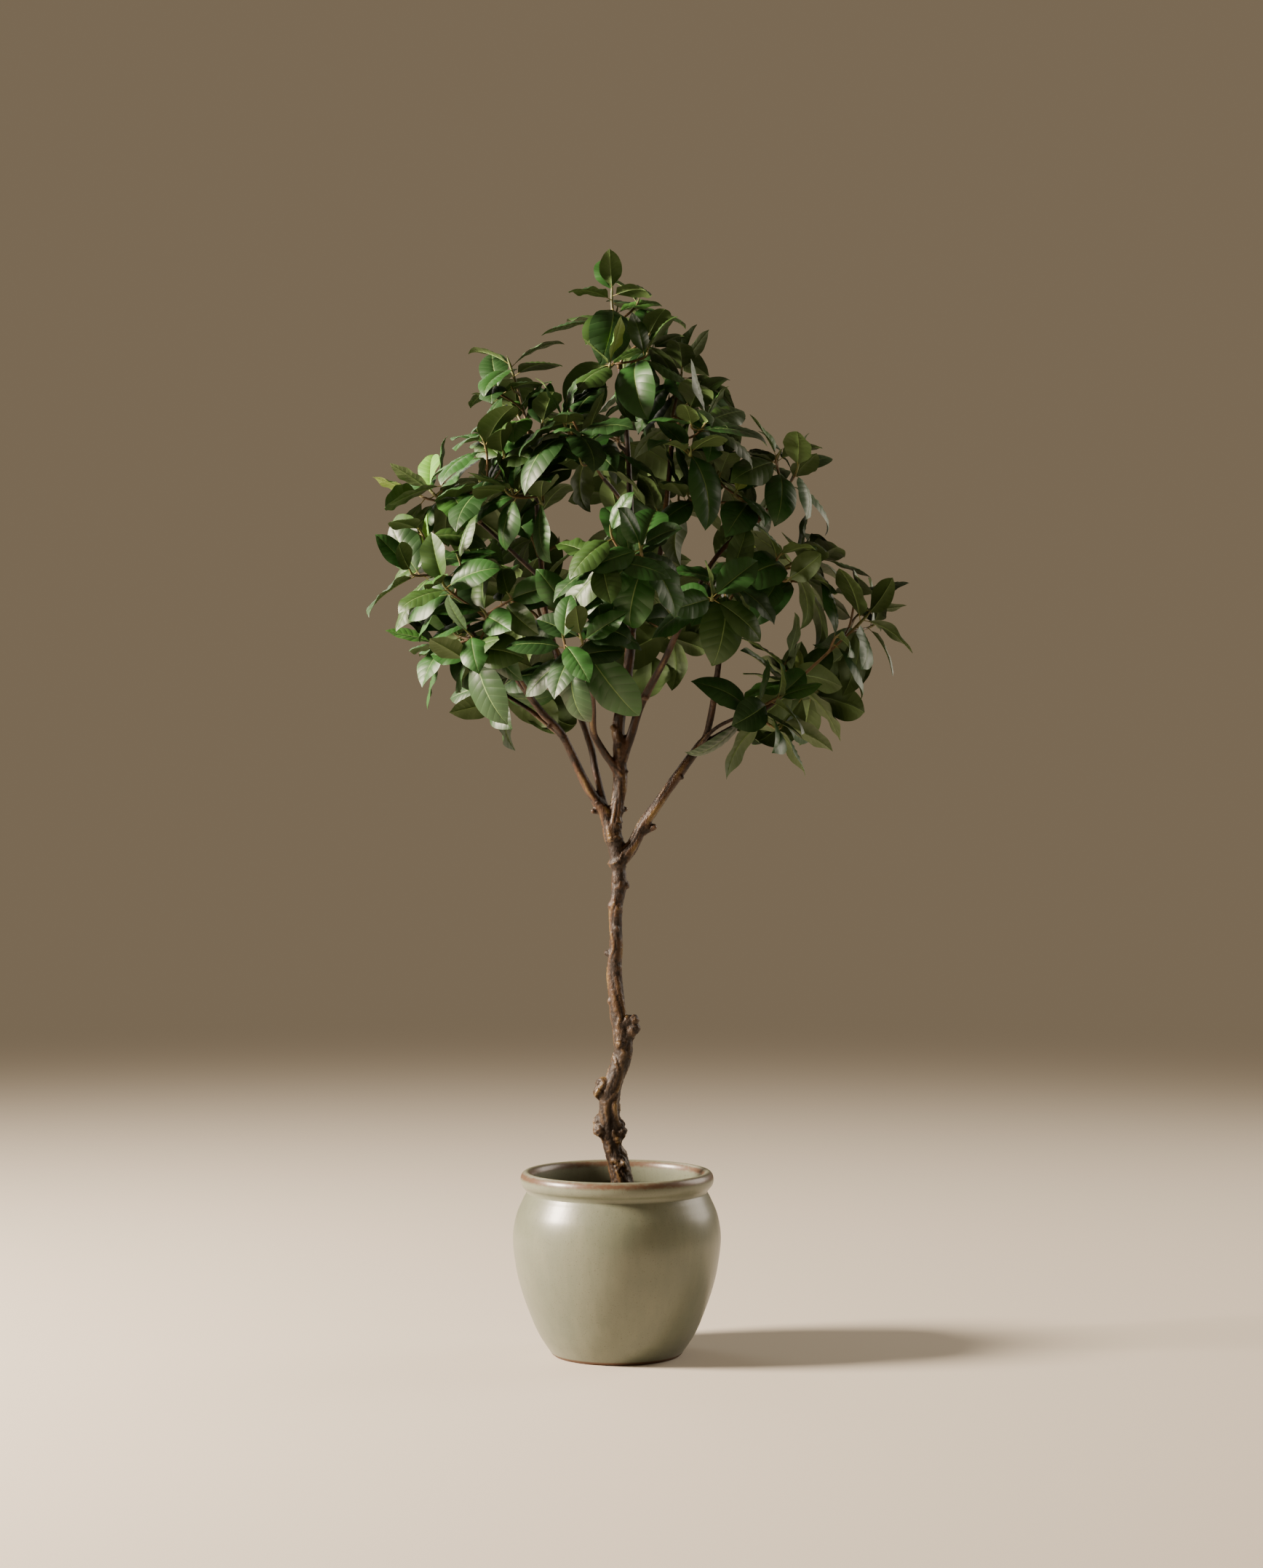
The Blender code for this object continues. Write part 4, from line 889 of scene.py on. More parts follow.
def bladeGrid():
    # one leaf's grid: its rows run along the veins, so the relief follows them
    form = leafBlade
    rows = [(0.0, 0)]  # where a row starts on the midrib, and 1 on a vein or -1 on a swelling
    for k in range(form["veins"]):
        vein = form["veinFrom"] + form["veinOver"] * (k + 0.5) / form["veins"]
        crest = form["veinFrom"] + form["veinOver"] * (k + 1) / form["veins"]
        rows += [(vein - form["veinHalf"], 1), (vein + form["veinHalf"], 1), (crest, -1)]
    rows += [(form["lastRow"], 0), (1.0, 0)]
    columns = [-f for f in reversed(form["columns"])] + [0.0] + list(form["columns"])
    alongs, halves = zip(*form["outline"])
    points = []
    for r, (start, relief) in enumerate(rows):
        end = start + form["sweep"] * math.sin(math.pi * start)
        half = smoothStep(end, alongs, halves)
        points += [(start + (end - start) * abs(f) ** form["bow"], f, half, relief,
                    abs(f) == 1 or r in (0, len(rows) - 1)) for f in columns]
    grid = {name: np.array(values) for name, values in zip(("x", "f", "half", "relief", "edge"),
                                                           zip(*points))}
    wide, deep = len(columns), len(rows)
    count = wide * deep
    below = np.arange(count)  # the lower side shares the points of the edge
    inner = np.flatnonzero(~grid["edge"])
    below[inner] = count + np.arange(len(inner))
    faces, kinds = [], []  # a kind is 0 blade, 1 vein, 2 midrib, 3 underside, 4 rib
    for r in range(deep - 1):
        for c in range(wide - 1):
            a, b = r * wide + c, r * wide + c + 1
            faces.append((a, b, b + wide, a + wide))
            middle = c in (wide // 2 - 1, wide // 2)
            vein = rows[r][1] == 1 and rows[r + 1][1] == 1
            kinds.append(2 if middle else 1 if vein else 0)
            faces.append(tuple(int(i) for i in below[[a, a + wide, b + wide, b]]))
            kinds.append(4 if middle else 3)
    grid.update(faces=np.array(faces), kinds=np.array(kinds), inner=inner)
    return grid


def smoothStep(x, places, values):
    # a value between named stations, eased by a monotone cubic
    k = max(i for i, p in enumerate(places[:-1]) if p <= x)
    slopes = [(b - a) / (q - p) for a, b, p, q in zip(values, values[1:], places, places[1:])]
    ends = [slopes[0], *[0 if a * b <= 0 else 2 * a * b / (a + b) for a, b in zip(slopes, slopes[1:])],
            slopes[-1]]
    span = places[k + 1] - places[k]
    t = (x - places[k]) / span
    return (values[k] * (2 * t ** 3 - 3 * t ** 2 + 1) + ends[k] * span * (t ** 3 - 2 * t ** 2 + t)
            + values[k + 1] * (3 * t ** 2 - 2 * t ** 3) + ends[k + 1] * span * (t ** 3 - t ** 2))


def column(leaves, name):
    # one value of every leaf, set upright so that it meets each point of the grid
    return np.array([leaf[name] for leaf in leaves], float)[:, None]


def leafArc(leaves, t):
    # centre, forward and up of every leaf at the shares t: arrays of leaf, share, axis
    samples = np.linspace(0, 1, leafBlade["arcSamples"])
    late = leafBlade["curlFrom"]
    late = np.clip((samples - late) / (1 - late), 0, 1) ** 2
    turn = column(leaves, "bend") * samples + column(leaves, "curl") * late
    middle = (turn[:, 1:] + turn[:, :-1]) / 2
    step = column(leaves, "length") / (len(samples) - 1)
    none = np.zeros((len(leaves), 1))
    ahead = np.concatenate([none, np.cumsum(np.cos(middle) * step, 1)], 1)
    down = np.concatenate([none, np.cumsum(np.sin(middle) * step, 1)], 1)
    at = np.clip(t, 0, 1) * (len(samples) - 1)
    low = np.minimum(at.astype(int), len(samples) - 2)
    part = at - low
    ahead, down, turn = (v[:, low] * (1 - part) + v[:, low + 1] * part for v in (ahead, down, turn))
    ahead = ahead + np.minimum(t, 0) * column(leaves, "length")
    root, forward, up = (column(leaves, name) for name in ("root", "forward", "up"))
    centre = root + forward * ahead[..., None] - up * down[..., None]
    cos, sin = np.cos(turn)[..., None], np.sin(turn)[..., None]
    return centre, forward * cos - up * sin, up * cos + forward * sin


def shapeBlades(leaves, grid):
    # points of every blade, the upper side first and then the inner points of the lower side
    form = leafBlade
    x, f, spread = grid["x"], grid["f"], np.abs(grid["f"])
    centre, forward, up = leafArc(leaves, leafStalk["long"] + (1 - leafStalk["long"]) * x)
    side = np.cross(forward, up)
    half = column(leaves, "width") / 2
    size = column(leaves, "length") / leafGrowth["length"]
    across = half * (f * grid["half"])
    flat = np.abs(across)
    rise = flat * np.tan(column(leaves, "fold")) * (1 - form["flatter"] * x)
    rise = rise - column(leaves, "arch") * flat ** 2 / half
    # the swellings fade out at the midrib, the edge, the foot and the tip
    swell = np.sin(math.pi * spread ** 0.8) * np.sin(math.pi * np.clip(x, 0, 1)) ** 0.5
    rise = rise - grid["relief"] * form["pucker"] * size * swell
    phase = column(leaves, "phase") + np.where(f < 0, form["outOfStep"], 0)
    ripple = np.sin(math.tau * column(leaves, "waves") * x + phase)
    ripple = ripple * spread ** 2 * np.sin(math.pi * np.clip(x, 0, 1))
    rise = rise + column(leaves, "wave") * size * ripple
    skin = form["thick"] * size / 2 * (1 - spread ** 4)
    centred = f == 0
    top = rise + skin - np.where(centred, form["groove"] * size * (1 - x), 0)
    low = rise - skin - np.where(centred, form["ribDepth"] * size * (1 - x) ** 0.6, 0)
    twist = column(leaves, "twist") * (x - form["twistFrom"])
    found = []
    for height in (top, low):
        height = np.where(grid["edge"], rise, height)
        sideways = across * np.cos(twist) - height * np.sin(twist)
        upwards = across * np.sin(twist) + height * np.cos(twist)
        found.append(centre + side * sideways[..., None] + up * upwards[..., None])
    return np.concatenate([found[0], found[1][:, grid["inner"]]], 1)


def shapeStalks(leaves):
    # a swollen stalk that runs on under the blade as its rib
    form = leafStalk
    t = np.linspace(form["from"], form["long"] + form["under"], form["rings"])
    centre, forward, up = leafArc(leaves, t)
    side = np.cross(forward, up)
    size = column(leaves, "length") / leafGrowth["length"]
    along = np.linspace(0, 1, form["rings"])
    foot, end = form["swell"]
    radius = form["radius"] * size * (foot - (foot - end) * along ** 0.7)
    centre = centre - up * (form["set"] * size * along)[..., None]
    turns = np.arange(form["sides"]) / form["sides"] * math.tau
    ring = (side[:, :, None] * np.cos(turns)[:, None] + up[:, :, None] * np.sin(turns)[:, None])
    verts = centre[:, :, None] + ring * radius[:, :, None, None]
    return verts.reshape(len(leaves), -1, 3)


def stalkFaces():
    sides, rings = leafStalk["sides"], leafStalk["rings"]
    ends = [tuple(range(sides)), tuple(reversed(range((rings - 1) * sides, rings * sides)))]
    return flipped(ringFaces(sides, rings)) + ends


# the masses that one piece of leaves stands for
crownParts = {
    "leaves_top": ("crown_tip", "high_right", "high_front", "right_shoulder", "left_peak",
                   "upper_left", "upper_front", "upper_heart"),
    "leaves_left": ("left_heart", "left_tip", "left_inner", "left_wing", "left_low", "low_left",
                    "left_front"),
    "leaves_front": ("front_heart", "front_skirt", "right_front", "right_peak", "right_middle",
                     "right_inner"),
    "leaves_right": ("right_out", "right_high", "right_low", "right_low_back", "far_right"),
    "leaves_back": ("back_left", "back_left_high", "back_high", "back_middle", "back_right",
                    "back_low"),
}


def dealLooks(leaf):
    # each leaf's tone, fold, curl and waves, drawn by its own seed
    rng = random.Random(leaf["seed"] + 0.75)
    leaf["fold"] = math.radians(rng.uniform(*leafBlade["fold"]))
    leaf["fold"] *= 1 + leafBlade["foldYoung"] * leaf["age"]
    for name in ("arch", "wave", "waves"):
        leaf[name] = rng.uniform(*leafBlade[name])
    leaf["phase"] = rng.uniform(0, math.tau)
    leaf["curl"] = rng.uniform(*leafBlade["curl"])
    leaf["twist"] = rng.uniform(-1, 1) * leafBlade["twist"]
    spray = random.Random(leaf["rosette"] + 0.9).uniform(0, 1)
    together = budTones["together"]
    chance = (1 - together) * rng.random() + together * spray
    leaf["tone"] = next(tone for limit, tone in leafTones if chance < limit)
    if leaf["age"] > 1:  # a bud leaf, younger than the youngest of its rosette
        leaf["tone"] = "fresh" if chance > budTones["fresh"] else "mid"
        if spray > budTones["young"]:
            leaf["tone"] = "young"


def buildLeaves(name, leaves, grid):
    blades = shapeBlades(leaves, grid)
    stalks = shapeStalks(leaves)
    around = stalkFaces()
    perBlade, perStalk = blades.shape[1], stalks.shape[1]
    faces, kinds = [], []
    for k, leaf in enumerate(leaves):
        bright = leaf["tone"] == "young"
        tones = (leaf["tone"], "youngVein" if bright else "vein", "rib",
                 "youngUnder" if bright else "under", "rib")
        faces += (grid["faces"] + k * perBlade).tolist()
        kinds.append(np.array([leafSlots[tone] for tone in tones])[grid["kinds"]])
    for k in range(len(leaves)):
        start = len(leaves) * perBlade + k * perStalk
        faces += [tuple(i + start for i in face) for face in around]
    kinds.append(np.full(len(leaves) * len(around), leafSlots["stalk"]))
    verts = np.concatenate([blades.reshape(-1, 3), stalks.reshape(-1, 3)])
    piece = newPiece(name, verts, faces, leafMaterials.values(), np.concatenate(kinds), sharp=60)
    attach(piece, "root")
    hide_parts(*crownParts[name])
    print(name, len(leaves), "leaves,", countTriangles(piece), "triangles")


grid = bladeGrid()
for partName, partMasses in crownParts.items():
    partLeaves = [leaf for name in partMasses for twig in crown[name] for leaf in twig["leaves"]]
    for leaf in partLeaves:
        dealLooks(leaf)
    buildLeaves(partName, partLeaves, grid)

# Bark: the trunk and every bough in one skin. The old wood is warty and ridged and the young wood
# nearly smooth; rubbed ridges catch the light over crevices. The crevices are darkened with painted
# shade, and the crests are painted paler, partly as their own wear and partly as painted highlight.

bark = {
    "voxel": 0.0019,
    "sides": 24,
    "trunkSteps": 8,
    "below": 0.008,  # how far the trunk runs on into the soil,
    "flare": 1.04,  # and how much wider it is there
    "ring": 0.006,
    "leastRings": 6,
    "back": 0.003,  # how far a bough reaches back into the tip that it grows on from
    "collar": (0.30, 2.2),  # how much wider it is at its foot, and over how many radii
    "waist": 0.8,  # under 1, a bough thins faster near its foot
    "roundEnd": ((0.5, 0.87), (0.85, 0.5)),  # how far past a limb's end, how wide there, in radii
    "knotRise": 0.35,  # how much a knot points up,
    "knotFoot": 1.20,  # and its radii as shares of its height
    "knotTip": 0.80,
    "waistAt": 0.6,  # where a knot or stub has its middle ring
    # shoulders under the trunk's knots, then stubs of lost twigs: from, to, radius there
    "stubs": (
        ((0.014, -0.002, 0.518), (0.0270, -0.004, 0.5320), 0.0120),
        ((-0.018, -0.002, 0.420), (-0.0300, -0.005, 0.4300), 0.0110),
        ((-0.014, -0.002, 0.356), (-0.0270, -0.004, 0.3660), 0.0110),
        ((0.000, -0.002, 0.352), (0.0080, -0.004, 0.3640), 0.0105),
        ((0.044, 0.000, 0.852), (0.0600, -0.003, 0.8610), 0.0058),
        ((-0.027, 0.000, 0.886), (-0.0385, -0.004, 0.8870), 0.0052),
        ((0.006, -0.002, 0.948), (0.0150, -0.005, 0.9520), 0.0050),
        ((0.006, -0.002, 0.886), (0.0125, 0.003, 0.8900), 0.0050),
        ((-0.001, -0.004, 1.020), (-0.0075, -0.008, 1.0240), 0.0045),
        ((0.100, 0.000, 0.945), (0.1060, -0.006, 0.9420), 0.0045),
        ((-0.105, -0.027, 1.031), (-0.1110, -0.031, 1.0240), 0.0042)),
    "stubSwell": (1.1, 0.92),  # a stub's radii at its foot and middle, as shares of its tip's
    "smooth": 3,
    "lobes": (0.02166667, 0.0024),  # size and depth of the swellings,
    "ridges": (0.0105, 0.0030),  # of the ridges,
    "warts": (0.0044, 0.0008),  # and of the warts
    "crest": (1.9, 0.55),  # how sharp the ridges are, and how much of them lies under the surface
    "stretch": 0.20,  # the ridges run along the limb at this share of its length,
    "twist": 16,  # and turn round it by so many radians in a metre
    "shift": 0.37,  # metres from one limb's place in the pattern to the next one's
    "thinRelief": 0.16,  # what the thinnest wood keeps of the relief
    "fullRadius": 0.017,  # from this radius on a limb has all of it
    # slot cut into the front of the trunk and painted dark inside as shade: place, half width, half
    # height, depth
    "slot": (-0.0085, 0.378, 0.0026, 0.013, 0.0052),
    # how strongly painted shade darkens the slot
    "slotShade": 1.5,
    "old": "#4B3822",
    "oldDark": "#332213",
    "new": "#3D2516",
    "aged": (0.25, 0.8),  # from new to old wood, as shares of the full relief
    # colour, the heights of the relief that it comes in between, and how much of it: pale crests, partly
    # the bark's wear and partly painted highlight, and crevices darkened with painted shade
    "ridge": ("#76613D", 0.20, 0.85, 0.8),
    "creviceShade": ("#1B0F06", 0.0, -0.40, 0.95),
    "roughness": (0.55, 0.27),  # in a crevice and on a crest
    "ior": 1.42,
    "patch": 9,  # millimetres across the dark patches,
    "grain": 2.6,  # and from fibre to fibre
}


def limbTubes():
    # the line and radii of every limb, knot and stub
    path, radii = trunkLine(bark["trunkSteps"])
    path = [path[0] - Vector((0, 0, bark["below"]))] + path
    radii = [radii[0] * bark["flare"]] + radii
    found = [(path, radii)]
    middle = bark["waistAt"]
    for height, bearing, out, tall in trunk["knots"]:
        k = min(range(len(path)), key=lambda i: abs(path[i].z - height))
        turn = math.radians(bearing)
        way = Vector((math.cos(turn), math.sin(turn), bark["knotRise"])).normalized()
        foot, tip = tall * bark["knotFoot"], tall * bark["knotTip"]
        reach = radii[k] + out - tip
        found.append(([path[k], path[k] + way * reach * middle, path[k] + way * reach],
                      [foot, (foot + tip) / 2, tip]))
    more, over = bark["collar"]
    for name, (_, _, (foot, tip), _) in boughs.items():
        curve, _, start = limbLines[name]
        count = max(bark["leastRings"], round(lengths(curve)[-1] / bark["ring"]))
        line = [pointAt(curve, k / count) for k in range(count + 1)]
        thin = [foot + (tip - foot) * (k / count) ** bark["waist"] for k in range(count + 1)]
        if start:
            line.insert(0, line[0] - start * bark["back"])
            thin.insert(0, foot)
        else:
            thin = [r * (1 + more * math.exp(-(d / (foot * over)) ** 2))
                    for r, d in zip(thin, lengths(line))]
        found.append((line, thin))
    first, second = bark["stubSwell"]
    for start, end, radius in bark["stubs"]:
        start, end = Vector(start), Vector(end)
        found.append(([start, start.lerp(end, middle), end], [radius * first, radius * second, radius]))
    return found


def roundTube(line, thin, sides):
    # a tube whose two ends are rounded
    ways = directions(line)
    ends = bark["roundEnd"]
    front = [line[0] - ways[0] * thin[0] * out for out, _ in reversed(ends)]
    behind = [line[-1] + ways[-1] * thin[-1] * out for out, _ in ends]
    radii = [thin[0] * wide for _, wide in reversed(ends)] + thin + [thin[-1] * wide for _, wide in ends]
    return tube(front + line + behind, radii, sides)


def barkRelief(point, way, run, radius, centre, seed):
    # height of the bark at a point, in metres, with what share of the full relief it has
    share = min(1, radius / bark["fullRadius"]) ** 2
    share = bark["thinRelief"] + (1 - bark["thinRelief"]) * share
    off = point - centre
    turned = Matrix.Rotation(run * bark["twist"] * share, 3, way) @ off
    place = turned - way * turned.dot(way) + way * (run * bark["stretch"]) + Vector((seed, 0, seed))
    size, deep = bark["lobes"]
    lobe = deep * noise.noise(place / size)
    size, deep = bark["ridges"]
    sharp, sunk = bark["crest"]
    fine = deep * (sharp * abs(noise.noise(place / size)) - sunk)
    size, wart = bark["warts"]
    fine += wart * noise.noise((point + Vector((0, 0, seed))) / size)
    return (lobe + fine) * share, fine / deep, share


def buildBark():
    verts, faces = [], []
    tubes = limbTubes()
    for line, thin in tubes:
        more, around = roundTube(line, thin, bark["sides"])
        faces += [tuple(i + len(verts) for i in face) for face in around]
        verts += more
    piece = newPiece("bark", verts, faces, [barkMaterial()])
    remesh = piece.modifiers.new("skin", "REMESH")
    remesh.mode = "VOXEL"
    remesh.voxel_size = bark["voxel"]
    ease = piece.modifiers.new("ease", "SMOOTH")
    ease.iterations = bark["smooth"]
    applyModifiers(piece)
    # samples along the limbs, not the knots and stubs, each limb with a shift of its own pattern
    samples = [(point, way, run, radius, seed * bark["shift"])
               for seed, (line, thin) in enumerate(tubes) if len(line) > 3
               for point, way, run, radius in zip(line, directions(line), lengths(line), thin)]
    tree = KDTree(len(samples))
    for k, sample in enumerate(samples):
        tree.insert(sample[0], k)
    tree.balance()
    mesh = piece.data
    across, up, wide, tall, deep = bark["slot"]
    lift, relief, age = [], [], []
    for vertex in mesh.vertices:
        point = vertex.co.copy()
        centre, k, _ = tree.find(point)
        _, way, run, radius, seed = samples[k]
        height, fine, share = barkRelief(point, way, run, radius, centre, seed)
        if point.y < centre.y and abs(point.z - up) < 3 * tall:
            cut = math.exp(-((point.x - across) / wide) ** 2 - ((point.z - up) / tall) ** 2)
            height -= deep * cut
            # painted shade: the slot's relief value is pushed down so that the crevices' dark colour
            # fills it
            fine -= bark["slotShade"] * cut
        lift.append(height)
        relief.append(fine)
        age.append(share)
    normals = np.empty(len(mesh.vertices) * 3)
    mesh.vertex_normals.foreach_get("vector", normals)
    places = np.empty(len(mesh.vertices) * 3)
    mesh.vertices.foreach_get("co", places)
    places = places.reshape(-1, 3) + normals.reshape(-1, 3) * np.array(lift)[:, None]
    mesh.vertices.foreach_set("co", places.ravel())
    mesh.shade_smooth()
    setAttribute(piece, "relief", relief)
    setAttribute(piece, "age", age)
    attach(piece, "root")
    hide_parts(*limbLines)
    print("bark:", countTriangles(piece), "triangles")


def barkMaterial():
    # living ficus bark, weathered on old wood: crests rubbed to a soft shine and painted paler, partly
    # as their wear and partly as painted highlight; crevices dull and darkened with painted shade;
    # redder brown on young wood
    dull, rubbed = bark["roughness"]
    made, tree, shader = newMaterial("ficus_bark_weathered", bark["old"], rubbed, bark["ior"])
    place = addNode(tree, "ShaderNodeTexCoord", output="Object")
    relief = addNode(tree, "ShaderNodeAttribute", output="Fac", attribute_name="relief")
    age = addNode(tree, "ShaderNodeAttribute", output="Fac", attribute_name="age")
    patches = addNode(tree, "ShaderNodeTexNoise", {
        "Vector": place, "Scale": perMetre(bark["patch"]), "Detail": 4.0, "Roughness": 0.6})
    old = addNode(tree, "ShaderNodeMix", {0: patches, 6: bark["oldDark"], 7: bark["old"]}, **twoColours)
    base = tint(tree, bark["new"], age, old, *bark["aged"])
    # paler crests, partly the bark's wear and partly painted highlight, then painted shade in the
    # crevices
    base = tint(tree, base, relief, *bark["ridge"])
    base = tint(tree, base, relief, *bark["creviceShade"])
    gloss = addNode(tree, "ShaderNodeMapRange", {
        "Value": relief, "From Min": -0.3, "From Max": 0.7, "To Min": dull, "To Max": rubbed})
    # the fibres of the grain run up the trunk
    along = addNode(tree, "ShaderNodeMapping", {"Vector": place, "Scale": (1, 1, 0.35)})
    grain = addNode(tree, "ShaderNodeTexNoise", {
        "Vector": along, "Scale": perMetre(bark["grain"]), "Detail": 5.0, "Roughness": 0.6})
    bump = addNode(tree, "ShaderNodeBump", {"Height": grain, "Strength": 0.5, "Distance": 0.0025})
    setInputs(tree, shader, {"Base Color": base, "Roughness": gloss, "Normal": bump})
    return made


buildBark()

# Twigs: each mass's stem and side twigs, from its bough's tip to the bud of each rosette.
# Young bark, thin and slightly glossy, green at the tip and pale brown lower down.

twigs = {
    "sides": 8,
    "back": 0.005,  # how far a stem reaches back into its bough
    "stem": (0.0026, 0.0019),  # radius at foot and tip
    "side": (0.0021, 0.0017),
    "swell": (0.35, 0.0022),  # at a leaf's foot: how much wider, over what length
    "uneven": (0.10, 0.00625),  # how much its radius strays, and over what length
    "bud": (0.0014, 0.013),  # radius and length of the bud, and its outline as shares of them
    "budShape": ((0.10, 1.25), (0.30, 1.15), (0.6, 0.75), (0.85, 0.35), (1, 0.08)),
    "brown": "#513A24",
    "pale": "#6F5B3A",
    "green": ("#5F6E35", 0.6, 0.97),  # and between which shares of the twig it comes in
    "roughness": 0.55,
    "fleck": 5,  # millimetres across the pale flecks
}


def twigRadii(path, low, high, knots, seed):
    run = lengths(path)
    found = []
    more, over = twigs["swell"]
    stray, each = twigs["uneven"]
    for d in run:
        radius = low + (high - low) * d / run[-1]
        near = sum(math.exp(-((d - k) / over) ** 2) for k in knots)
        ripple = noise.noise(Vector((seed, 0, d / each)))
        found.append(radius * (1 + more * min(near, 1) + stray * ripple))
    return found


def buildTwigs():
    verts, faces, ages = [], [], []
    wide, tall = twigs["bud"]
    for twig in (twig for grown in crown.values() for twig in grown):
        path = list(twig["fine"])
        knots = [lengths(path)[-1] * (1 - leaf["below"]) for leaf in twig["leaves"]]
        low, high = twigs["side" if twig["k"] else "stem"]
        seed = twig["leaves"][0]["rosette"] if twig["leaves"] else 0
        thin = twigRadii(path, low, high, knots, seed)
        if twig["k"] == 0:
            path.insert(0, path[0] - directions(path)[0] * twigs["back"])
            thin.insert(0, thin[0])
        tip = path[-1]
        path += [tip + twig["axis"] * tall * share for share, _ in twigs["budShape"]]
        thin += [wide * fat for _, fat in twigs["budShape"]]
        more, around = tube(path, thin, twigs["sides"])
        faces += [tuple(i + len(verts) for i in face) for face in around]
        verts += more
        run = lengths(path)
        ages += [d / run[-1] for d in run for _ in range(twigs["sides"])]
    piece = newPiece("twigs", verts, faces, [twigMaterial()])
    setAttribute(piece, "tip", ages)
    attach(piece, "root")
    print("twigs:", countTriangles(piece), "triangles")


def twigMaterial():
    # the year's wood: smooth thin bark that still shows the green under it near the bud
    made, tree, shader = newMaterial("young_ficus_twig", twigs["brown"], twigs["roughness"])
    place = addNode(tree, "ShaderNodeTexCoord", output="Object")
    tip = addNode(tree, "ShaderNodeAttribute", output="Fac", attribute_name="tip")
    flecks = addNode(tree, "ShaderNodeTexNoise", {
        "Vector": place, "Scale": perMetre(twigs["fleck"]), "Detail": 3.0})
    base = addNode(tree, "ShaderNodeMix", {0: flecks, 6: twigs["brown"], 7: twigs["pale"]}, **twoColours)
    base = tint(tree, base, tip, *twigs["green"])
    bump = addNode(tree, "ShaderNodeBump", {"Height": flecks, "Strength": 0.3, "Distance": 0.0006})
    setInputs(tree, shader, {"Base Color": base, "Normal": bump})
    return made


buildTwigs()

# Pot: thrown stoneware under a satin celadon glaze that thins to brown along the rim, and a bare
# foot. The throwing left faint rings, the firing fine iron specks and soft runs in the glaze.

pot = {
    "segments": 168,
    "wall": ((0.1070, 0.003), (0.1285, 0.036), (0.1440, 0.072), (0.1565, 0.108), (0.1648, 0.143),
             (0.1701, 0.190), (0.1650, 0.226), (0.1552, 0.250), (0.1472, 0.266)),
    "steps": 7,
    # underside and its eased edge: radius, height
    "foot": ((0, 0), (0.05175, 0), (0.1027, 0), (0.1035, 0.00032), (0.1045, 0.0014)),
    "rim": ((0.1485, 0.2855), (0.0095, 0.0135)),  # middle of the rolled rim, half width and height
    "rimTurn": (-62, 180),
    "rimSteps": 30,
    "thick": 0.010,
    "floor": (0.1065, 0.016),  # radius and height of the flat floor inside
    "rings": (0.0065, 0.00034),  # spacing and depth of the throwing rings
    "shoulder": (0.2565, 0.0016, 0.0006),  # height, half height and depth of the shoulder ridge
    "wobble": (0.0005, 0.8, 5),  # of the potter's hand: depth, how fast round the pot and up it,
    "steady": 0.05,  # and it fades out below this height
    "brownBand": (0.55, 0.0055),  # where on the rim's upper half the glaze thins, over what height
    "glaze": "#686D5C",
    # colour, the values of its pattern that it comes in between, and how much of it
    "thin": ("#787A68", 0.3, 0.7, 0.55),
    "deep": ("#565D52", 0.35, 0.75, 0.35),
    "iron": ("#4A4032", 0.62, 0.78, 0.55),
    "brown": ("#573D2D", 0.12, 0.46, 0.9),
    "clay": ("#5E4331", 0.0062, 0.0040),  # bare below these heights
    "roughness": (0.36, 0.85),  # of the glaze and of the bare clay
    "coat": (0.15, 0.22),  # how much the glaze's top layer adds, and its roughness
    "streak": 14,  # millimetres across the runs in the glaze,
    "cloud": 70,  # the darker clouds,
    "speck": 2.2,  # the specks of iron,
    "breaking": 9,  # and the patches in which it thins at the rim
}


def potProfile():
    # radius and height, from the underside up the outside, over the rim and down inside
    outer = smoothPath([(r, 0, z) for r, z in pot["wall"]], pot["steps"])
    low, depth = pot["rings"]
    ridge, tall, stand = pot["shoulder"]
    profile = list(pot["foot"])
    for p in outer:
        wide = p.x + depth * noise.noise(Vector((3.1, 0, p.z / low)))
        wide += stand * math.exp(-((p.z - ridge) / tall) ** 2)
        profile.append((wide, p.z))
    (middle, high), (halfWide, halfTall) = pot["rim"]
    first, last = pot["rimTurn"]
    for k in range(pot["rimSteps"] + 1):
        turn = math.radians(first + (last - first) * k / pot["rimSteps"])
        profile.append((middle + halfWide * math.cos(turn), high + halfTall * math.sin(turn)))
    profile += reversed([(p.x - pot["thick"], p.z) for p in outer[2::2]])
    floorWide, floorHigh = pot["floor"]
    return profile + [(floorWide, floorHigh), (floorWide / 2, floorHigh), (0, floorHigh)]


def buildPot():
    profile = potProfile()
    count = pot["segments"]
    (_, high), (_, halfTall) = pot["rim"]
    deep, around, upwards = pot["wobble"]
    at, over = pot["brownBand"]
    verts, brown = [], []
    for radius, height in profile:
        edge = math.exp(-((height - high - halfTall * at) / over) ** 2)
        edge = edge if radius > pot["floor"][0] else 0
        for x, y in circle(count) if radius else [(0, 0)]:
            hand = noise.noise(Vector((x * around, y * around, height * upwards)))
            wide = radius + deep * hand * min(1, height / pot["steady"])
            verts.append((wide * x, wide * y, height))
            brown.append(edge)
    faces = latheFaces(count, len(profile) - 2)
    piece = newPiece("pot_glazed", verts, faces, [glazeMaterial()])
    setAttribute(piece, "brown", brown)
    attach(piece, "root")
    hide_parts("pot")
    print("pot:", countTriangles(piece), "triangles")


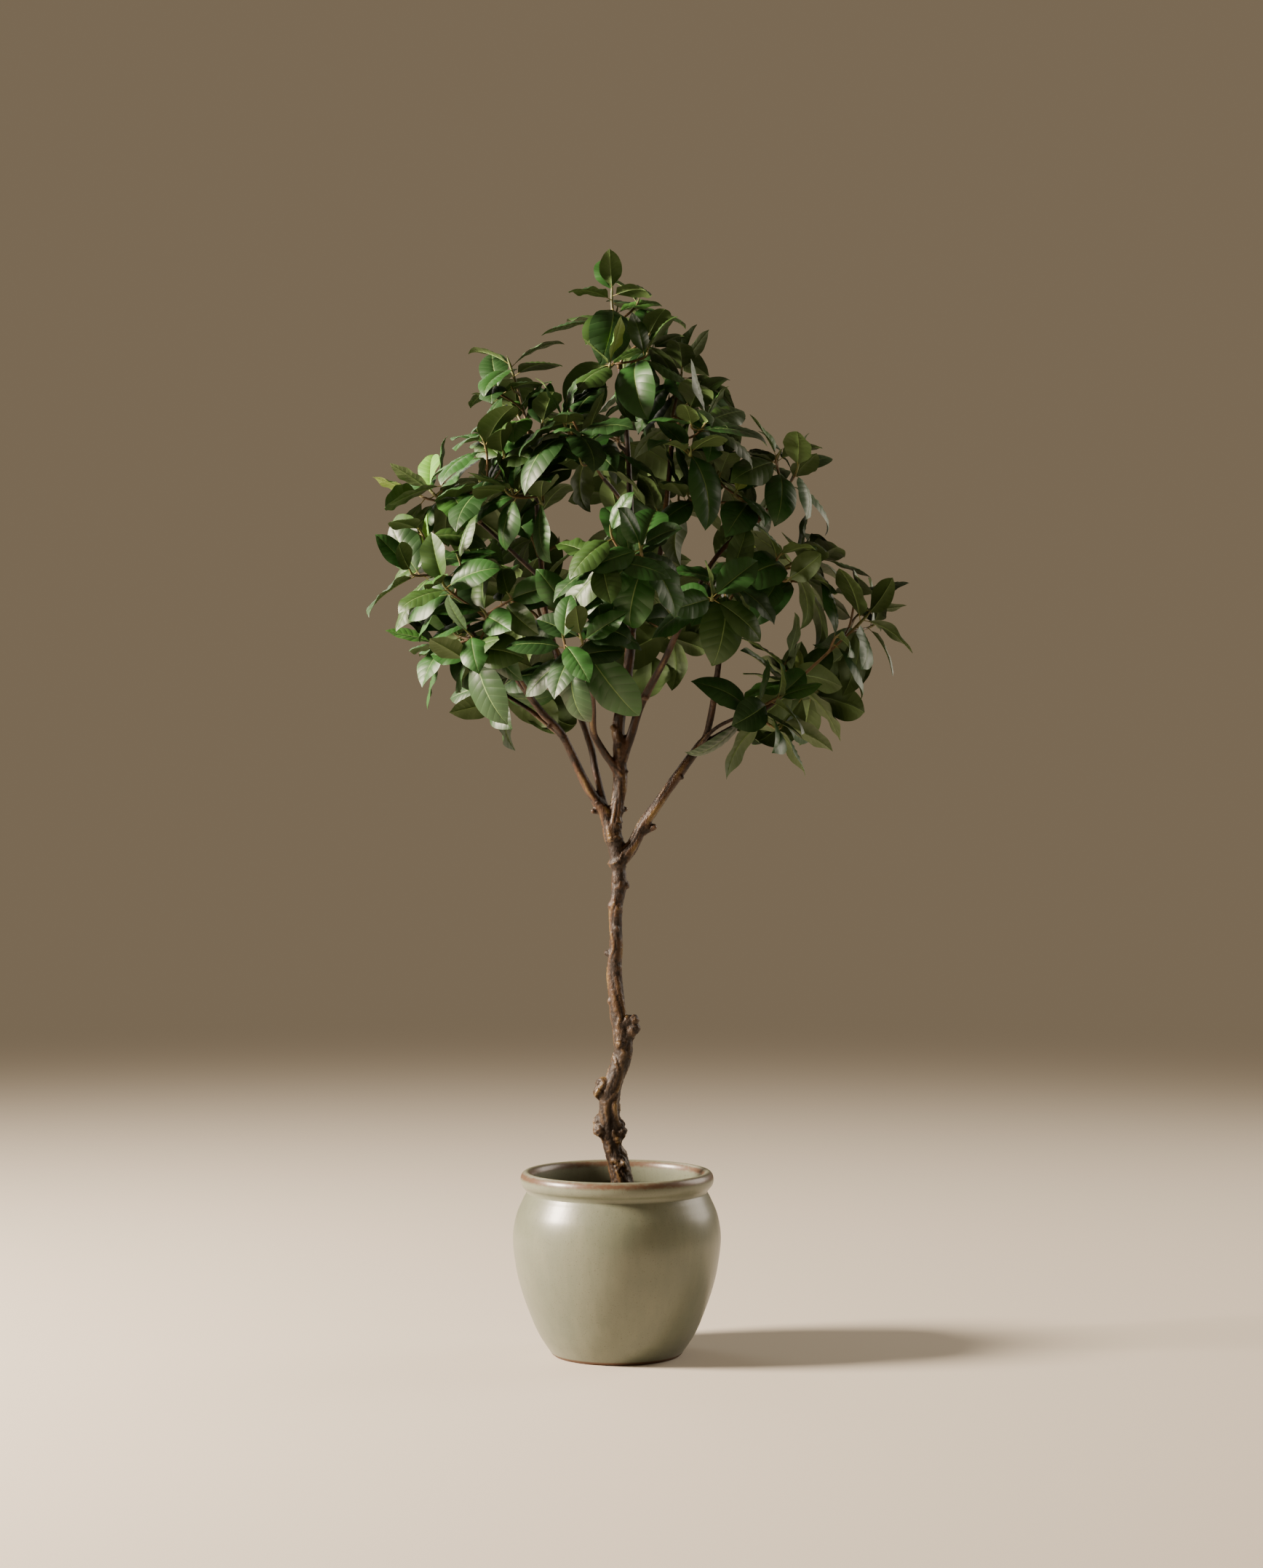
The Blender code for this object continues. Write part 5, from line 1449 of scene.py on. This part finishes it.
def glazeMaterial():
    # celadon over iron-bearing stoneware, fired in reduction: satin, deep green where it is thick
    glazed, bare = pot["roughness"]
    coat, coatRoughness = pot["coat"]
    made, tree, shader = newMaterial("celadon_glazed_stoneware", pot["glaze"], glazed, more={
        "Coat Weight": coat, "Coat Roughness": coatRoughness})
    place = addNode(tree, "ShaderNodeTexCoord", output="Object")
    # the glaze ran down the wall, so its streaks are drawn out in height
    runs = addNode(tree, "ShaderNodeMapping", {"Vector": place, "Scale": (1, 1, 0.18)})
    streaks = addNode(tree, "ShaderNodeTexNoise", {
        "Vector": runs, "Scale": perMetre(pot["streak"]), "Detail": 4.0, "Roughness": 0.6})
    base = tint(tree, pot["glaze"], streaks, *pot["thin"])
    clouds = addNode(tree, "ShaderNodeTexNoise", {
        "Vector": place, "Scale": perMetre(pot["cloud"]), "Detail": 3.0})
    base = tint(tree, base, clouds, *pot["deep"])
    # specks of iron; real ones are finer, these are as fine as a picture can show
    specks = addNode(tree, "ShaderNodeTexNoise", {
        "Vector": place, "Scale": perMetre(pot["speck"]), "Detail": 1.0})
    base = tint(tree, base, specks, *pot["iron"])
    # the glaze thins over the rim and the iron in the clay shows through
    brown = addNode(tree, "ShaderNodeAttribute", output="Fac", attribute_name="brown")
    breaking = addNode(tree, "ShaderNodeTexNoise", {
        "Vector": place, "Scale": perMetre(pot["breaking"]), "Detail": 4.0, "Roughness": 0.7})
    worn = addNode(tree, "ShaderNodeMath", {0: brown, 1: breaking}, operation="MULTIPLY")
    base = tint(tree, base, worn, *pot["brown"])
    # the foot is wiped clean of glaze before the firing
    height = addNode(tree, "ShaderNodeSeparateXYZ", {"Vector": place}, output="Z")
    base = tint(tree, base, height, *pot["clay"])
    _, glazeEnd, clayFrom = pot["clay"]
    dry = addNode(tree, "ShaderNodeMapRange", {
        "Value": height, "From Min": glazeEnd, "From Max": clayFrom, "To Min": glazed, "To Max": bare})
    skin = addNode(tree, "ShaderNodeBump", {"Height": streaks, "Strength": 0.12, "Distance": 0.002})
    setInputs(tree, shader, {"Base Color": base, "Roughness": dry, "Normal": skin})
    return made


buildPot()

# Soil: damp potting mix that fills the pot, with crumbs and chips of bark lying on it

soil = {
    "top": 0.2335,
    "edge": 0.0008,  # from the pot's wall,
    "lift": 0.0006,  # and from its floor
    "wall": (0.020, 0.2275),  # its side follows the pot's wall between these heights
    "segments": 96,
    "rings": 26,
    "relief": ((0.012, 0.00168), (0.004, 0.00084)),  # size and depth of the lumps on its top
    "crumbs": 900,
    "chips": 90,
    "size": (0.0009, 0.0032),  # of a crumb,
    "chipSize": 1.9,  # and of a chip, times that
    "bare": 0.006,  # they lie so far from the wall or further,
    "sunk": 0.2,  # and their middles a share of their size above the soil
    "tilt": 0.5,  # how far they may lie over, in radians
    "rough": (0.8, 1.15),  # how far each corner strays
    "seed": 11,
    "dark": "#1F160F",
    "light": "#3B2A1C",
    "chip": "#5A3D24",
    "roughness": 0.92,
    "grain": 2,  # millimetres from fibre to fibre
}


def soilHeight(x, y):
    lumps = [deep * noise.noise(Vector((x, y, 0)) / size) for size, deep in soil["relief"]]
    return soil["top"] + sum(lumps)


def innerRadius(height):
    # of the pot's inside at a height
    wall = [(r - pot["thick"], z) for r, z in pot["wall"]]
    for (r, z), (wider, higher) in zip(wall, wall[1:]):
        if height <= higher:
            return r + (wider - r) * (height - z) / (higher - z)
    return wall[-1][0]


def soilBody(edge):
    # the points of its top, of its side against the pot's wall, and of its underside
    count, rings = soil["segments"], soil["rings"]
    verts = [(0, 0, soilHeight(0, 0))]
    for ring in range(1, rings + 1):
        verts += [(x, y, soilHeight(x, y)) for x, y in circle(count, edge * ring / rings)]
    floorWide, floorHigh = pot["floor"]
    bottom = floorHigh + soil["lift"]
    low, high = soil["wall"]
    side = [(r - pot["thick"] - soil["edge"], z) for r, z in reversed(pot["wall"]) if low < z < high]
    side.append((floorWide - soil["edge"], bottom))
    for radius, height in side:
        verts += [(x, y, height) for x, y in circle(count, radius)]
    verts.append((0, 0, bottom))
    return verts, flipped(latheFaces(count, rings + len(side)))


def scatterCrumbs(edge):
    # crumbs first and then chips of bark: points, faces, and 1 or 2 for the material of each face
    rng = random.Random(soil["seed"])
    corners, sides = crumbShape()
    verts, faces, kinds = [], [], []
    for k in range(soil["crumbs"] + soil["chips"]):
        chip = k >= soil["crumbs"]
        reach = math.sqrt(rng.random()) * (edge - soil["bare"])
        turn = rng.uniform(0, math.tau)
        x, y = reach * math.cos(turn), reach * math.sin(turn)
        size = rng.uniform(*soil["size"]) * (soil["chipSize"] if chip else 1)
        shape = (1, 0.6, 0.25) if chip else (1, rng.uniform(0.7, 1), 0.7)
        turned = Matrix.Rotation(rng.uniform(0, math.tau), 3, "Z")
        turned = turned @ Matrix.Rotation(rng.uniform(-soil["tilt"], soil["tilt"]), 3, "X")
        middle = Vector((x, y, soilHeight(x, y) + size * soil["sunk"]))
        faces += [tuple(i + len(verts) for i in face) for face in sides]
        for corner in corners:
            scaled = Vector([c * size * s * rng.uniform(*soil["rough"]) for c, s in zip(corner, shape)])
            verts.append(tuple(turned @ scaled + middle))
        kinds += [2 if chip else 1] * len(sides)
    return verts, faces, kinds


def buildSoil():
    edge = innerRadius(soil["top"]) - soil["edge"]
    verts, faces = soilBody(edge)
    crumbVerts, crumbFaces, crumbKinds = scatterCrumbs(edge)
    kinds = [0] * len(faces) + crumbKinds
    faces += [tuple(i + len(verts) for i in face) for face in crumbFaces]
    materials = [soilMaterial("damp_potting_mix", soil["dark"]),
                 soilMaterial("potting_crumb", soil["light"]),
                 soilMaterial("pine_bark_chip", soil["chip"])]
    piece = newPiece("soil_loose", verts + crumbVerts, faces, materials, kinds)
    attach(piece, "root")
    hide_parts("soil")
    print("soil:", countTriangles(piece), "triangles")


def crumbShape():
    # an octahedron cut once more: 18 corners of a rough lump
    axes = [Vector(v) for v in ((1, 0, 0), (-1, 0, 0), (0, 1, 0), (0, -1, 0), (0, 0, 1), (0, 0, -1))]
    corners, faces, found = list(axes), [], {}

    def middle(a, b):
        key = (min(a, b), max(a, b))
        if key not in found:
            corners.append(((corners[a] + corners[b]) / 2).normalized())
            found[key] = len(corners) - 1
        return found[key]

    for x, y, z in itertools.product((0, 1), (2, 3), (4, 5)):
        a, b, c = (x, y, z) if (x + y + z) % 2 == 0 else (y, x, z)
        ab, bc, ca = middle(a, b), middle(b, c), middle(c, a)
        faces += [(a, ab, ca), (b, bc, ab), (c, ca, bc), (ab, bc, ca)]
    return corners, faces


def soilMaterial(name, colour):
    # peat and composted bark, damp: dark and dull with a fibrous grain
    made, tree, shader = newMaterial(name, colour, soil["roughness"])
    place = addNode(tree, "ShaderNodeTexCoord", output="Object")
    grain = addNode(tree, "ShaderNodeTexNoise", {
        "Vector": place, "Scale": perMetre(soil["grain"]), "Detail": 4.0, "Roughness": 0.7})
    bump = addNode(tree, "ShaderNodeBump", {"Height": grain, "Strength": 0.8, "Distance": 0.0015})
    setInputs(tree, shader, {"Normal": bump})
    return made


buildSoil()

# Camera at the photograph's viewing angle, and plain soft studio light

camera = {
    "place": (0.0238, -4.9, 0.9313),
    "lens": 68.8,
    "sensor": 36,
    "far": 200,
}
studio = {
    "floor": (60, 96),  # radius and sides
    "fade": (1.2, 7.0),  # distances between which the floor turns to the air's own light
    "mottle": 60,  # millimetres across the unevenness of its paint
    "floorColour": "#BFB7AA",
    "floorRoughness": 0.75,
    "air": "#E2C7A1",
    "airStrength": 0.26,
    # name: place, where it points, width, watts, colour
    "key": ((-4.3, -0.75, 2.7), (0, 0, 0.9), 1.3, 1350, "#FFECD6"),
    "fill": ((3.6, 1.9, 2.2), (0, 0, 1.0), 3.0, 130, "#FFF1E0"),
    "rim": ((-1.8, 3.2, 3.2), (0, 0, 1.2), 2.0, 30, "#FFF6E8"),
}


def placeObject(name, data, place):
    made = bpy.data.objects.new(name, data)
    made.location = place
    bpy.context.scene.collection.objects.link(made)
    return made


def buildCamera():
    data = bpy.data.cameras.new("camera")
    data.lens = camera["lens"]
    data.sensor_width = camera["sensor"]
    data.clip_end = camera["far"]
    made = placeObject("camera", data, camera["place"])
    made.rotation_euler = (math.radians(90), 0, 0)  # level, towards the back
    bpy.context.scene.camera = made


def buildLight(name):
    place, aim, width, watts, colour = studio[name]
    data = bpy.data.lights.new(name, "AREA")
    data.shape = "DISK"
    data.size = width
    data.energy = watts
    data.color = hexColour(colour)[:3]
    made = placeObject(name, data, place)
    made.rotation_euler = (Vector(aim) - Vector(place)).to_track_quat("-Z", "Y").to_euler()


def buildStudio():
    air = {"Color": studio["air"], "Strength": studio["airStrength"]}
    world = bpy.data.worlds.new("studio")
    world.use_nodes = True
    setInputs(world.node_tree, world.node_tree.nodes["Background"], air)
    bpy.context.scene.world = world
    for name in ("key", "fill", "rim"):
        buildLight(name)
    # painted studio floor, rolled on: matt, with a faint mottle
    paint, tree, shader = newMaterial("rolled_floor_paint", studio["floorColour"],
                                      studio["floorRoughness"])
    place = addNode(tree, "ShaderNodeTexCoord", output="Object")
    mottle = addNode(tree, "ShaderNodeTexNoise", {
        "Vector": place, "Scale": perMetre(studio["mottle"]), "Detail": 3.0})
    bump = addNode(tree, "ShaderNodeBump", {"Height": mottle, "Strength": 0.05, "Distance": 0.001})
    setInputs(tree, shader, {"Normal": bump})
    # far from the plant the floor takes the air's own light, so that no horizon shows
    far = addNode(tree, "ShaderNodeVectorMath", {0: place}, output="Value", operation="LENGTH")
    near, gone = studio["fade"]
    fade = addNode(tree, "ShaderNodeMapRange", {"Value": far, "From Min": near, "From Max": gone},
                   interpolation_type="SMOOTHSTEP")
    glow = addNode(tree, "ShaderNodeEmission", air)
    blend = addNode(tree, "ShaderNodeMixShader", {0: fade, 1: shader.outputs["BSDF"], 2: glow})
    setInputs(tree, tree.nodes["Material Output"], {"Surface": blend})
    radius, sides = studio["floor"]
    edge = [(x, y, 0) for x, y in circle(sides, radius)]
    floor = newPiece("floor", edge, [tuple(range(sides))], [paint])


buildCamera()
buildStudio()
print("studio ready")
